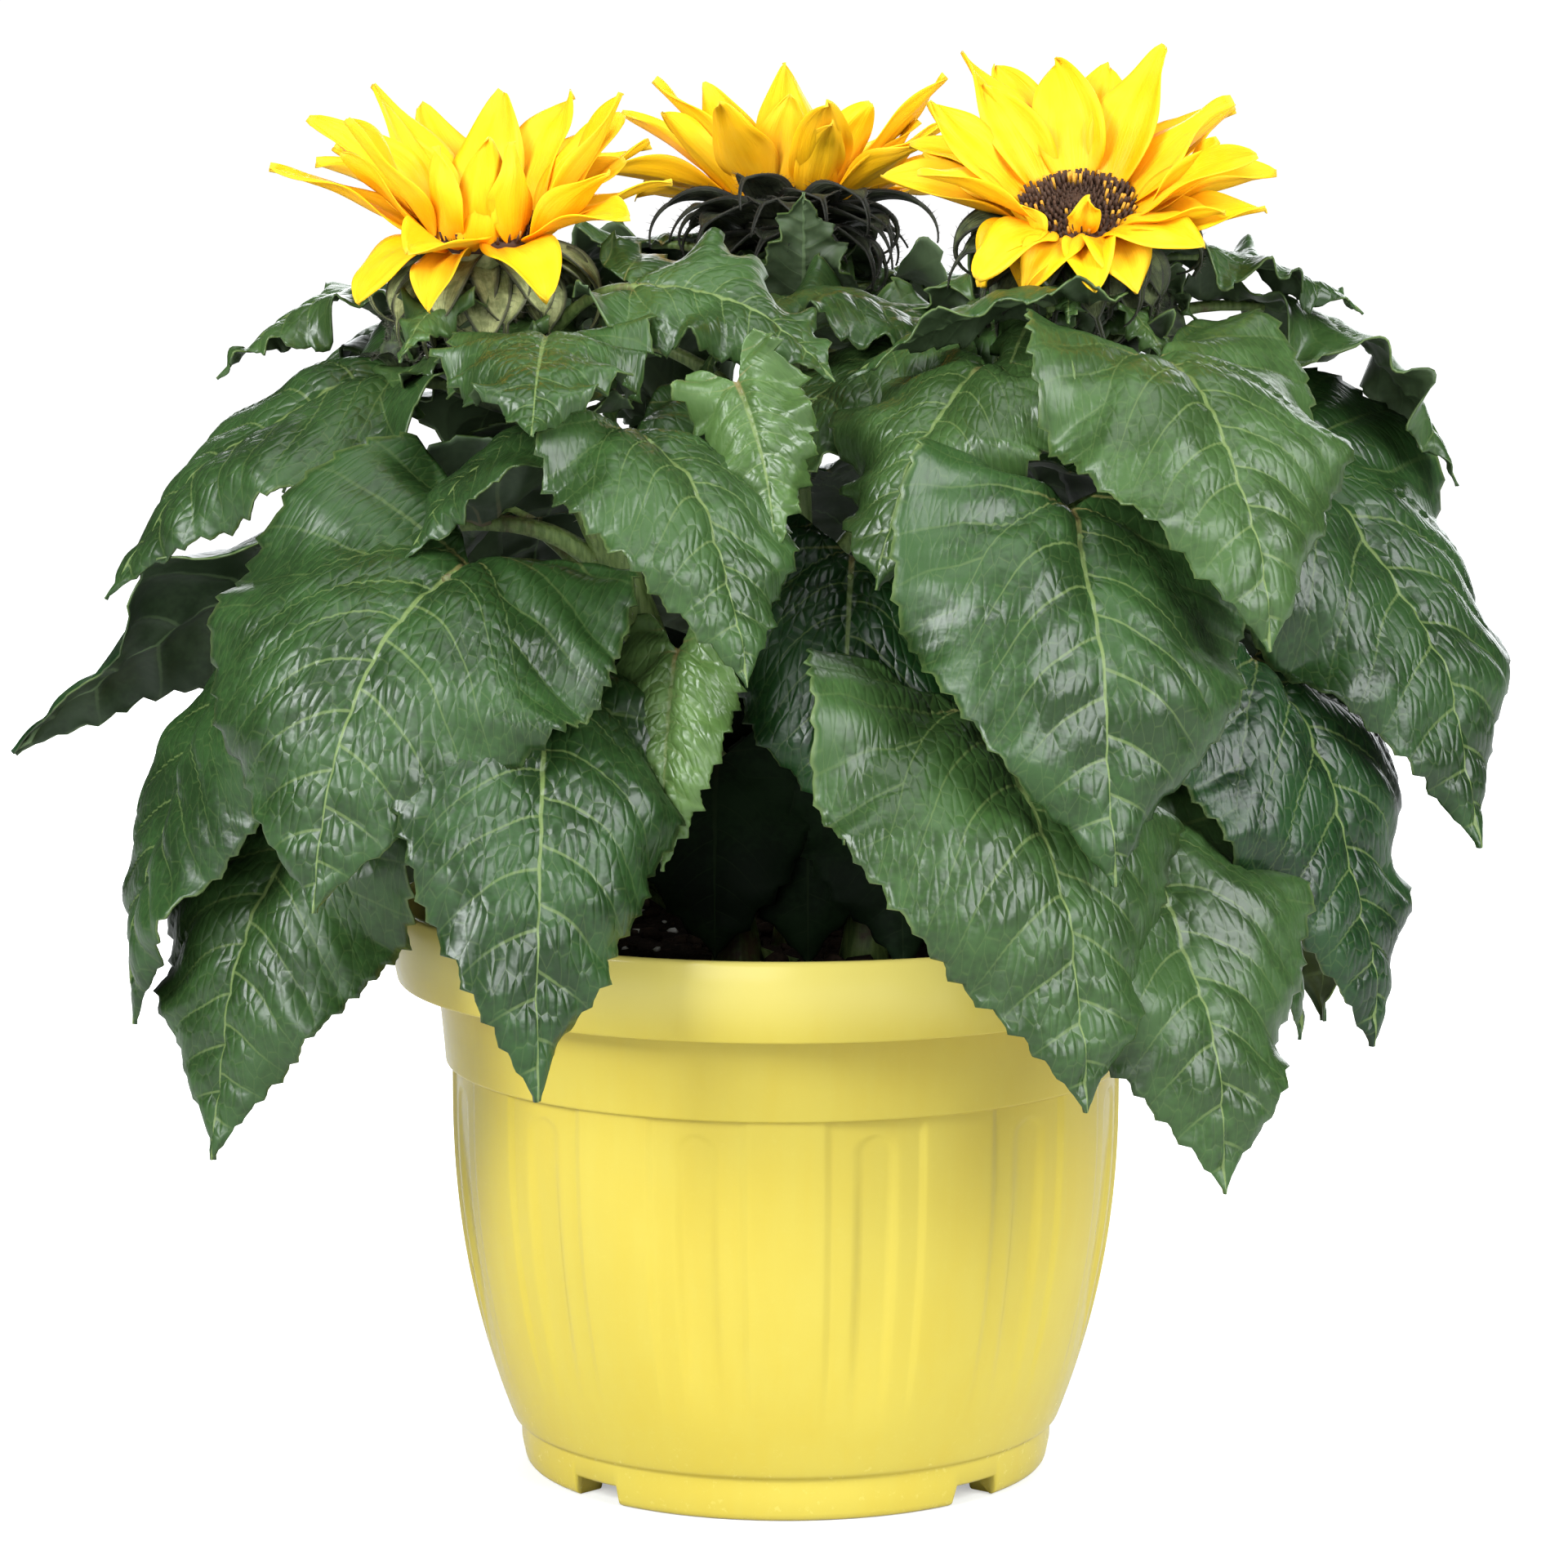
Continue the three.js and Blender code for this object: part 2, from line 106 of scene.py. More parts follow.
def ease(value, low, high, first=0.0, last=1.0):
    """Runs smoothly from first to last while value goes from low to high."""
    return add_node(
        value.id_data, "MapRange", interpolation_type="SMOOTHSTEP", Value=value,
        From_Min=low, From_Max=high, To_Min=first, To_Max=last,
    )


def tint(share, colour, other):
    """Goes from one colour to another as share goes from 0 to 1."""
    made = share.id_data.nodes.new("ShaderNodeMix")
    made.data_type = "RGBA"
    for place, value in ((0, share), (6, colour), (7, other)):
        feed(made.inputs[place], value)
    return made.outputs[2]


def new_finish(name, roughness=0.5, specular=0.5):
    """An empty finish: its node tree, its shader, and the place of each point on the plant."""
    finish = bpy.data.materials.new(name)
    finish.use_nodes = True
    tree = finish.node_tree
    shader = tree.nodes["Principled BSDF"]
    shader.inputs["Roughness"].default_value = roughness
    shader.inputs["IOR"].default_value = 1.45
    shader.inputs["Specular IOR Level"].default_value = specular
    place = tree.nodes.new("ShaderNodeTexCoord").outputs["Object"]
    return finish, tree, shader, place


def paint(shader, colour, roughness=None):
    """Gives a finish its worked colour, and its worked roughness where it has one."""
    feed(shader.inputs["Base Color"], colour)
    if roughness is not None:
        feed(shader.inputs["Roughness"], roughness)


def emboss(shader, height, distance, strength=1.0):
    """Raises fine relief on a finish, height 1 standing distance metres proud."""
    tree = height.id_data
    relief = add_node(tree, "Bump", Strength=strength, Distance=distance, Height=height)
    feed(shader.inputs["Normal"], relief)


def placed_piece(mesh, name, *finishes):
    """Makes a mesh an object of the scene, with its finishes."""
    for finish in finishes:
        mesh.materials.append(finish)
    piece = bpy.data.objects.new(name, mesh)
    bpy.context.scene.collection.objects.link(piece)
    return piece


def finished_piece(bm, name, *finishes):
    """Makes the worked mesh a smooth shaded object with its finishes."""
    mesh = bpy.data.meshes.new(name)
    bm.to_mesh(mesh)
    bm.free()
    mesh.shade_smooth()
    return placed_piece(mesh, name, *finishes)


def eased_outline(corners):
    """Radius and height along an outline whose corners are eased, each by its own length."""
    points = [Vector(corners[0][:2])]
    for before, corner, after in zip(corners, corners[1:], corners[2:]):
        here, a, b = (Vector(c[:2]) for c in (corner, before, after))
        if not corner[2]:
            points.append(here)
            continue
        start = here + (a - here).normalized() * min(corner[2], (a - here).length * 0.45)
        end = here + (b - here).normalized() * min(corner[2], (b - here).length * 0.45)
        for i in range(5):
            w = i / 4
            points.append(start * (1 - w) ** 2 + here * 2 * w * (1 - w) + end * w * w)
    return points + [Vector(corners[-1][:2])]


def turned(outline, steps, sectors=12):
    """Turns an outline, in millimetres, right round the upright axis, sector by sector."""
    bm = bmesh.new()
    row = [bm.verts.new((r * MM, 0, z * MM)) for r, z in outline]
    line = [bm.edges.new(pair) for pair in zip(row, row[1:])]
    bmesh.ops.spin(
        bm, geom=row + line, cent=(0, 0, 0), axis=(0, 0, 1), angle=2 * math.pi / sectors,
        steps=steps // sectors, use_merge=False, use_duplicate=False,
    )
    sector = bm.verts[:] + bm.edges[:] + bm.faces[:]
    for k in range(1, sectors):
        copy = bmesh.ops.duplicate(bm, geom=sector)["geom"]
        turn = Matrix.Rotation(2 * math.pi * k / sectors, 3, "Z")
        corners = [g for g in copy if isinstance(g, bmesh.types.BMVert)]
        bmesh.ops.rotate(bm, verts=corners, cent=(0, 0, 0), matrix=turn)
    bmesh.ops.remove_doubles(bm, verts=bm.verts, dist=2e-6)
    bmesh.ops.recalc_face_normals(bm, faces=bm.faces)
    return bm


def body_radius(z):
    """The belly of the pot: steep at the collar, drawn in towards the foot."""
    up = min(max((z - BODY_FOOT) / BELLY_HIGH, 0), 1)
    return BELLY_RADIUS - BELLY_DRAW * (1 - up) ** 2.2


def soft_step(value, low, high):
    w = min(max((value - low) / (high - low), 0), 1)
    return w * w * (3 - 2 * w)


def flute_depth(angle, z):
    """How far the body is set back at this angle in degrees: a ledge with a groove in it."""
    pitch = 360 / FLUTES
    off = abs((angle + 90) % pitch - pitch / 2)
    ledge = LEDGE_DEPTH * (1 - soft_step(off, *LEDGE_SIDE)) * soft_step(z, 22, 50)
    # the groove runs out at its foot and ends in a round top just under the collar
    fade = soft_step(z, 20, 60)
    over = max(z - (GROOVE_TOP - 4), 0) / 4
    wide = GROOVE_HALF * math.sqrt(max(1 - over * over, 0))
    groove = (1 - soft_step(off, wide - 0.9, wide + 0.9)) * (wide > 0.4)
    shallow = 1 - 0.6 * soft_step(z, 70, GROOVE_TOP)
    return ledge + (GROOVE_DEPTH - LEDGE_DEPTH) * groove * fade * shallow


body_rows = [(body_radius(z), z, 0) for z in np.linspace(BODY_FOOT + 1, 94, 34)]
body_rows += [(body_radius(z), z, 0) for z in np.linspace(95, BODY_TOP - 0.6, 14)]
foot_rows = [(0, 0, 0), (18, 0, 0.6), (19, 5.5, 0.8), (57, 5.5, 0.8), (58, 0, 0.8)]
foot_rows += [(66.4, 0, 2.0), (67.6, 6, 0), (67.8, 10.9, 0.5), (69.5, 12, 0.8)]
collar_rows = [(BELLY_RADIUS, BODY_TOP, 0.3), (86.3, 103.9, 0.7), (87.0, 112, 0)]
collar_rows += [(87.8, 120, 0), (88.2, 126.0, 0.5)]
rim_rows = [(98.3, 125.2, 0.8), (99.3, 130, 0), (99.9, 136, 0), (99.7, 141, 0)]
rim_rows += [(99.0, 145.0, 1.2), (96.6, 145.0, 0.9), (96.2, 136, 0), (95.8, 128.0, 1.5)]
inside_rows = [(85.8, 126.5, 1.5), (84.8, 118, 0), (80.6, 79, 0), (74.2, 37.6, 0)]
inside_rows += [(65.5, 8.5, 2), (30, 8.5, 0), (0, 8.5, 0)]
pot_mesh = turned(
    eased_outline(foot_rows + body_rows + collar_rows + rim_rows + inside_rows), POT_STEPS
)
for vertex in pot_mesh.verts:
    x, y, z = (c / MM for c in vertex.co)
    r, angle = math.hypot(x, y), math.degrees(math.atan2(y, x))
    if BODY_FOOT < z < BODY_TOP and abs(r - body_radius(z)) < 0.3:
        narrow = 1 - flute_depth(angle, z) / r
        vertex.co.x *= narrow
        vertex.co.y *= narrow
    # a drainage notch lifts the foot ring off the ground
    aside = math.radians((angle - NOTCH_FIRST + 45) % 90 - 45) * r
    if r > 56 and z < NOTCH_HIGH and abs(aside) < NOTCH_WIDE / 2:
        vertex.co.z = (NOTCH_HIGH + 0.08 * z) * MM

pot_plastic, tree, shader, place = new_finish("pot_plastic", roughness=0.24, specular=0.28)
cloudy = add_node(tree, "TexNoise", Vector=place, Scale=14, Detail=3, Roughness=0.6)
drawn = add_node(tree, "Mapping", Vector=place, Scale=(1, 1, 0.12))
streaks = add_node(tree, "TexNoise", Vector=drawn, Scale=160, Detail=2, Roughness=0.7)
worn = add_node(tree, "TexNoise", Vector=place, Scale=420, Detail=4, Roughness=0.75)
flow = plus(times(cloudy, 0.7), times(streaks, 0.3))
yellow = tint(ease(flow, 0.35, 0.65), POT_DEEP, POT_YELLOW)
height = split(place)[2]
# the rim is painted paler and whiter: a painted highlight
yellow = tint(ease(height, 0.124, 0.140, 0, 0.75), yellow, POT_RIM_HIGHLIGHT)
low_down = ease(height, 0.0, 0.03, 0.3, 0.05)
scuff = times(ease(worn, 0.56, 0.70), low_down)
dull = plus(ease(streaks, 0.3, 0.7, 0.20, 0.25), times(scuff, 0.3))
paint(shader, tint(scuff, yellow, POT_SCUFF), dull)
grain = add_node(tree, "TexNoise", Vector=place, Scale=900, Detail=1, Roughness=0.5)
lines = plus(times(grain, 0.35), times(streaks, 0.65))
emboss(shader, lines, 0.00005, 0.3)

pot = finished_piece(pot_mesh, "plastic_pot", pot_plastic)
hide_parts("pot")
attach(pot, "root")

# ---------------------------------------------------------------- compost
# Dark peat compost fills the pot to a little under the rim. Its top is lumpy, with crumbs,
# bits of bark and a few white grains of perlite lying on it.
SOIL_TOP = 130.0
SOIL_EDGE = 95.4
CRUMBS = 900
PERLITE = 70
PEAT = (0.017, 0.011, 0.008, 1)
PEAT_DRY = (0.060, 0.040, 0.028, 1)
CRUMB_PALE = (0.040, 0.025, 0.016, 1)


def scatter(k, seed=1):
    """An even scatter between -1 and 1 for item k."""
    v = math.sin(k * 12.9898 + seed * 78.233) * 43758.5453
    return 2 * (v - math.floor(v)) - 1


def soil_height(x, y):
    """Height of the compost's top, in millimetres, with lumps of three sizes."""
    at = Vector((x, y, 0))
    edge = min((97 - math.hypot(x, y)) / 10, 1)
    sizes = ((2.4, 0.05), (1.6, 0.16), (0.8, 0.5))
    lumps = sum(high * noise.noise(at * fine) for high, fine in sizes)
    return SOIL_TOP + max(edge, 0.25) * lumps


soil_outline = [(0, SOIL_TOP)] + [(r, SOIL_TOP) for r in np.linspace(1.5, SOIL_EDGE, 56)]
soil_outline += [(SOIL_EDGE, 129.0), (84.4, 128.4), (84.0, 118), (79.8, 79), (73.2, 37.6)]
soil_outline += [(64.8, 9), (0, 9)]
soil_mesh = turned(soil_outline, 156)
for vertex in soil_mesh.verts:
    x, y, z = (c / MM for c in vertex.co)
    if z > SOIL_TOP - 0.5:
        vertex.co.z = soil_height(x, y) * MM

peat, tree, shader, place = new_finish("peat", roughness=0.95, specular=0.2)
clods = add_node(tree, "TexNoise", Vector=place, Scale=160, Detail=8, Roughness=0.75)
dust = add_node(tree, "TexNoise", Vector=place, Scale=900, Detail=4, Roughness=0.7)
paint(shader, tint(ease(clods, 0.42, 0.72), PEAT, PEAT_DRY))
emboss(shader, plus(clods, times(dust, 0.4)), 0.002, 0.9)

soil = finished_piece(soil_mesh, "compost", peat)
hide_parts("soil")
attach(soil, "root")


def small_shape(make, **sizes):
    """Points and faces of one small shape made by a bmesh operator."""
    bm = bmesh.new()
    make(bm, **sizes)
    points = np.array([v.co for v in bm.verts])
    faces = [[v.index for v in f.verts] for f in bm.faces]
    bm.free()
    return points, faces


def strewn(name, shape, places, *finishes, ruffle=0.0, kinds=None):
    """Copies of one small shape, each laid by its own matrix in metres, joined in one piece."""
    points, faces = shape
    grid = np.array([np.array(m) for m in places])
    many = np.arange(len(grid))[:, None]
    spread = np.einsum("mij,nj->mni", grid[:, :3, :3], points)
    if ruffle:
        shake = np.sin(many * 12.9898 + np.arange(len(points)) * 78.233) * 43758.5453
        spread *= 1 + ruffle * (2 * (shake - np.floor(shake)) - 1)[:, :, None]
    spread += grid[:, None, :3, 3]
    corners = np.concatenate([np.array(f) for f in faces])
    firsts = np.concatenate([[0], np.cumsum([len(f) for f in faces])[:-1]])
    mesh = bpy.data.meshes.new(name)
    mesh.vertices.add(len(grid) * len(points))
    mesh.vertices.foreach_set("co", spread.ravel())
    mesh.loops.add(len(grid) * len(corners))
    mesh.loops.foreach_set("vertex_index", (corners + many * len(points)).ravel())
    mesh.polygons.add(len(grid) * len(faces))
    mesh.polygons.foreach_set("loop_start", (firsts + many * len(corners)).ravel())
    if kinds is not None:
        mesh.polygons.foreach_set("material_index", np.repeat(kinds, len(faces)))
    mesh.update(calc_edges=True)
    mesh.validate()
    piece = placed_piece(mesh, name, *finishes)
    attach(piece, "root")
    return piece


def bit_places(count, seed, low, high, flat):
    """Where small lumps lie on the compost, turned and stretched each its own way."""
    places = []
    for k in range(count):
        a = math.pi * scatter(k, seed)
        r = (SOIL_EDGE - 3) * math.sqrt(abs(scatter(k, seed + 1)))
        x, y = r * math.cos(a), r * math.sin(a)
        size = low + (high - low) * abs(scatter(k, seed + 2)) ** 2
        at = Vector((x, y, soil_height(x, y) + 0.15 * size)) * MM
        turn = Matrix.Rotation(3 * scatter(k, seed + 3), 4, "Z")
        turn = turn @ Matrix.Rotation(scatter(k, seed + 4), 4, "X")
        long = 1 + 0.6 * abs(scatter(k, seed + 5))
        shape = Matrix.Diagonal((long, 1, flat, 1)) @ Matrix.Scale(size * MM, 4)
        places.append(Matrix.Translation(at) @ turn @ shape)
    return places


def speckled(name, scale, dark, light, roughness, detail=2, relief=0):
    """A finish mottled in two colours by one fine noise, which may also raise its surface."""
    finish, tree, shader, place = new_finish(name, roughness)
    speck = add_node(tree, "TexNoise", Vector=place, Scale=scale, Detail=detail)
    paint(shader, tint(speck, dark, light))
    if relief:
        emboss(shader, speck, relief, 0.8)
    return finish


crumb_peat, tree, shader, place = new_finish("crumb_peat", roughness=0.95, specular=0.2)
clods = add_node(tree, "TexNoise", Vector=place, Scale=500, Detail=4)
paint(shader, tint(ease(clods, 0.3, 0.7), PEAT, CRUMB_PALE))
emboss(shader, clods, 0.0006, 0.8)
white_grain = speckled(
    "perlite", 1600, (0.50, 0.48, 0.43, 1), (0.85, 0.84, 0.80, 1), 0.85, detail=3, relief=0.0004
)
lump = small_shape(bmesh.ops.create_icosphere, subdivisions=1, radius=1)
crumb_places = bit_places(CRUMBS, 20, 0.7, 3.4, 0.7)
crumbs = strewn("compost_crumbs", lump, crumb_places, crumb_peat, ruffle=0.28)
grain_places = bit_places(PERLITE, 40, 0.5, 1.7, 0.9)
grains = strewn("compost_perlite", lump, grain_places, white_grain, ruffle=0.25)

# ---------------------------------------------------------------- stems and leaf stalks
# Three hairy, ribbed green stems grow out of the compost and part towards their flowers. Each
# leaf stands on a stalk that leaves its stem below the blade, rises and bends over into it.
STEMS = {
    "left": {"foot": (-12, -14), "top": (-73, -33, 300)},
    "back": {"foot": (3, 16), "top": (1, 42, 304)},
    "right": {"foot": (20, -6), "top": (70, -32, 305)},
}
STEM_RADIUS = (5.6, 4.0)
# Each leaf: stem, then the blade's joint as azimuth, radius and height about the pot's axis,
# the blade's length, its pitch at the joint and at the tip, its turn from straight outwards,
# its roll and its width as a share of the length.
LEAVES = [
    # large drooping leaves at the front left
    ("left", -132, 111, 239, 102, -12, -88, 4, 0, 0.97),
    ("left", -122, 104, 212, 110, -25, -92, 29, 0, 0.68),
    ("left", -160, 138, 212, 97, -40, -95, 9, 0, 0.88),
    ("left", -152, 127, 178, 93, -40, -92, 12, 0, 0.8),
    # long arching leaves at the left
    ("left", -161, 77, 244, 138, -4, -46, -25, 40, 0.5),
    ("left", -165, 96, 279, 96, -6, -60, -7, -15, 0.72),
    ("left", 174, 88, 299, 62, 4, -44, 10, 0, 0.6),
    ("left", 168, 84, 284, 50, 0, -44, 0, 0, 0.7),
    # leaves under the left flower and at the middle
    ("left", -130, 88, 290, 56, 8, -44, 38, 0, 0.9),
    ("left", -128, 84, 270, 56, -4, -60, -22, 10, 0.8),
    ("left", -113, 92, 270, 78, -12, -80, 58, 0, 0.8),
    ("back", -98, 84, 281, 44, -40, -80, 36, 40, 0.66),
    ("left", -124, 66, 302, 58, 10, -50, 106, 30, 0.7),
    ("back", 75, 18, 287, 37, 62, 80, -166, 0, 0.78),
    ("back", -90, 12, 296, 60, 10, -35, 70, 0, 0.7),
    # leaves in the shade at the middle
    ("back", -74, 58, 238, 76, -35, -90, -20, 0, 0.9),
    ("left", -107, 88, 218, 54, -55, -90, 4, 20, 0.6),
    ("back", 84, 66, 196, 58, -60, -92, 176, 0, 1.1),
    # leaves at the right of the middle
    ("right", -26, 40, 288, 80, -5, -60, -112, 0, 0.7),
    ("right", -50, 76, 282, 72, -5, -80, -76, 0, 0.88),
    ("right", -38, 88, 297, 60, 12, -40, -134, 20, 0.5),
    # large drooping leaves at the front right
    ("right", -54, 114, 252, 97, -30, -90, -25, 0, 0.95),
    ("right", -37, 110, 286, 90, -8, -86, -26, 0, 0.86),
    ("right", -66, 104, 206, 108, -22, -90, 6, 0, 0.9),
    ("right", -47, 117, 178, 98, -30, -88, -12, 0, 0.84),
    ("right", -25, 126, 213, 101, -45, -94, -4, 0, 0.86),
    ("right", -9, 124, 257, 113, -22, -88, -26, 0, 0.84),
    ("right", 9, 108, 280, 60, -20, -80, 0, 0, 0.8),
    ("right", 3, 112, 295, 78, 4, -74, -10, -10, 0.62),
    ("right", -10, 98, 308, 50, 8, -40, 15, 0, 0.66),
    ("right", 2, 100, 188, 88, -40, -92, -14, 0, 0.8),
]
# Tiers round the back, by rule: first azimuth, step, count, radius, height, length, pitches.
TIERS = [
    (24, 26, 6, 116, 201, 104, -32, -90),
    (34, 28, 5, 110, 248, 106, -12, -84),
    (24, 26, 6, 84, 288, 78, -2, -70),
    (60, 62, 2, 56, 303, 52, 4, -40),
]
for first, step, count, radius, level, length, p0, p1 in TIERS:
    for k in range(count):
        azimuth = first + step * k
        stem = "right" if azimuth < 55 else "left" if azimuth > 135 else "back"
        a, b = scatter(k + level, 1), scatter(k + level, 2)
        out = 5 if k % 2 else -5
        LEAVES.append(
            (stem, azimuth + 2 * a, radius + out, level + out + 2 * a, length * (1 + 0.07 * b))
            + (p0 + 3 * a, p1, 5 * b, 4 * a, 0.84)
        )
# Small near-black leaves round the feet of the stems, put there as painted shade to darken the
# gap, in the same terms.
SHADE_FILLER_ROWS = [
    ("back", 62, 50, 192, 62, -45, -88, 10, 0, 1.15),
    ("back", 96, 52, 196, 64, -50, -90, -8, 0, 1.15),
    ("left", 132, 50, 192, 62, -45, -88, -14, 0, 1.15),
    ("left", 170, 62, 190, 60, -45, -88, 0, 0, 1.05),
    ("right", 18, 62, 190, 60, -45, -88, 6, 0, 1.05),
    ("left", -118, 36, 184, 50, -62, -94, 24, 10, 1.0),
    ("back", -78, 27, 180, 48, -66, -94, -14, -8, 1.0),
    ("right", -52, 44, 184, 52, -60, -92, -30, 0, 1.0),
]
RIB_STEPS = 40
STALK_POINTS = 16
STEM_HAIRS, STALK_HAIRS = 400, 18
# An old leaf's stalk, bare, leans over the compost.
OLD_STALK = [(6 - 4.6 * i, -6 - 2.6 * i, 127.5 + 1.5 * i + 0.13 * i * i) for i in range(14)]


def rib(start, heading, turn, p0, p1, length, late=0.8):
    """A midrib that leaves start, in millimetres, and bends from pitch p0 to p1.

    With a large late, most of the bend is near its end.
    """
    u = np.minimum((np.arange(RIB_STEPS + 1) + 0.5) / RIB_STEPS, 1)
    pitch = np.radians(p0 + (p1 - p0) * u**late)
    bearing = math.radians(heading + turn)
    flat = np.cos(pitch)
    east, north = math.cos(bearing), math.sin(bearing)
    along = np.stack([east * flat, north * flat, np.sin(pitch)], axis=1)
    at = np.vstack([np.zeros(3), np.cumsum(along[:-1], axis=0) * length / RIB_STEPS]) + start
    return {"at": at, "along": along, "side": (-north, east, 0), "length": length}


def on_rib(line, s):
    """Point, direction and side of a rib at each share s, also a little behind its start."""
    k = np.clip(s, 0, 1) * RIB_STEPS
    steps = np.arange(RIB_STEPS + 1)
    point = np.stack([np.interp(k, steps, line["at"][:, i]) for i in range(3)], axis=1)
    along = np.stack([np.interp(k, steps, line["along"][:, i]) for i in range(3)], axis=1)
    along /= np.linalg.norm(along, axis=1)[:, None]
    point += np.minimum(s, 0)[:, None] * line["along"][0] * line["length"]
    return point, along, np.broadcast_to(line["side"], along.shape)


def stem_point(name, z):
    foot, top = STEMS[name]["foot"], STEMS[name]["top"]
    w = min(max((z - SOIL_TOP) / (top[2] - SOIL_TOP), 0), 1) ** 1.4
    return np.array((foot[0] + (top[0] - foot[0]) * w, foot[1] + (top[1] - foot[1]) * w, z))


def lay_tube(bm, points, radius, sides, ridges, depth, seed):
    """Adds a closed, ribbed stalk along points, in millimetres, radius(w) thick at share w."""
    tube = bmesh.new()
    bmesh.ops.create_cone(tube, cap_ends=True, segments=sides, radius1=1, radius2=1, depth=1)
    upright = [e for e in tube.edges if abs(e.verts[0].co.z - e.verts[1].co.z) > 0.5]
    bmesh.ops.subdivide_edges(tube, edges=upright, cuts=len(points) - 2)
    points = [Vector(p) for p in points]
    across = None
    frames = []
    for i, p in enumerate(points):
        way = (points[min(i + 1, len(points) - 1)] - points[max(i - 1, 0)]).normalized()
        across = across or (Vector((1, 0, 0)) if abs(way.z) > 0.9 else Vector((0, 0, 1)))
        across = (across - way * across.dot(way)).normalized()
        frames.append((p, across, way.cross(across)))
    for vertex in tube.verts:
        w = min(max(vertex.co.z + 0.5, 0), 1)
        p, u, v = frames[round(w * (len(points) - 1))]
        angle = math.atan2(vertex.co.y, vertex.co.x)
        lump = noise.noise(p * 0.15 + Vector((seed, angle, 0)))
        r = radius(w) * (1 + depth * math.sin(ridges * angle + 2 * w) + 0.05 * lump)
        vertex.co = (p + u * r * math.cos(angle) + v * r * math.sin(angle)) * MM
    bmesh.ops.recalc_face_normals(tube, faces=tube.faces)
    grown = bpy.data.meshes.new("tube")
    tube.to_mesh(grown)
    tube.free()
    bm.from_mesh(grown)
    bpy.data.meshes.remove(grown)


def small_cone(segments, foot, tip):
    """A closed cone or peg, one unit high."""
    return small_shape(
        bmesh.ops.create_cone, cap_ends=True, segments=segments, radius1=foot, radius2=tip, depth=1
    )


HAIR = small_cone(3, 1, 0.02)


def hair_place(foot, way, length, width):
    """Where one stiff plant hair stands: on foot, pointing along way, in millimetres."""
    way = Vector(way).normalized()
    turn = way.to_track_quat("Z", "X").to_matrix().to_4x4()
    size = Matrix.Diagonal((width * MM, width * MM, length * MM, 1))
    return Matrix.Translation((Vector(foot) + way * length / 2) * MM) @ turn @ size


def around(angle, radius, level):
    """A point by its angle in degrees and its radius about an upright axis."""
    turn = math.radians(angle)
    return np.array((radius * math.cos(turn), radius * math.sin(turn), level))


def leaf_joint(row):
    return around(*row[1:4])


def stalk_line(row, line):
    """The curve of a leaf's stalk from its stem into the blade."""
    stem, level = row[0], row[3]
    joint = leaf_joint(row)
    flat = np.linalg.norm(stem_point(stem, level - 15) - joint)
    foot = stem_point(stem, min(level - 8 - 0.33 * flat, STEMS[stem]["top"][2] - 5))
    knee = joint + (foot - joint) * 0.4
    knee[2] = joint[2] + 0.05 * flat - 1
    end = on_rib(line, np.array([0.10]))[0][0] - (0, 0, 1.2)
    first = foot + (knee - foot) * 0.6
    w = np.linspace(0, 1, STALK_POINTS)[:, None]
    bend = 3 * first * w * (1 - w) ** 2 + 3 * knee * w * w * (1 - w)
    return foot * (1 - w) ** 3 + bend + end * w**3


stem_green, tree, shader, place = new_finish("stem_green", roughness=0.55)
blotch = add_node(tree, "TexNoise", Vector=place, Scale=70, Detail=5, Roughness=0.65)
drawn = add_node(tree, "Mapping", Vector=place, Scale=(1, 1, 0.15))
fibre = add_node(tree, "TexNoise", Vector=drawn, Scale=900, Detail=4)
green = tint(ease(fibre, 0.3, 0.7), (0.060, 0.105, 0.020, 1), (0.150, 0.215, 0.060, 1))
paint(shader, tint(ease(blotch, 0.50, 0.72), green, (0.075, 0.040, 0.022, 1)))
emboss(shader, fibre, 0.0004, 0.6)
hair_grey = speckled("hair_grey", 60, (0.20, 0.21, 0.15, 1), (0.34, 0.34, 0.27, 1), 0.7)


def stem_radius(w):
    """Radius of a main stem at share w of its height: it flares out at the foot."""
    return STEM_RADIUS[0] + (STEM_RADIUS[1] - STEM_RADIUS[0]) * w + 1.4 * math.exp(-w / 0.03)


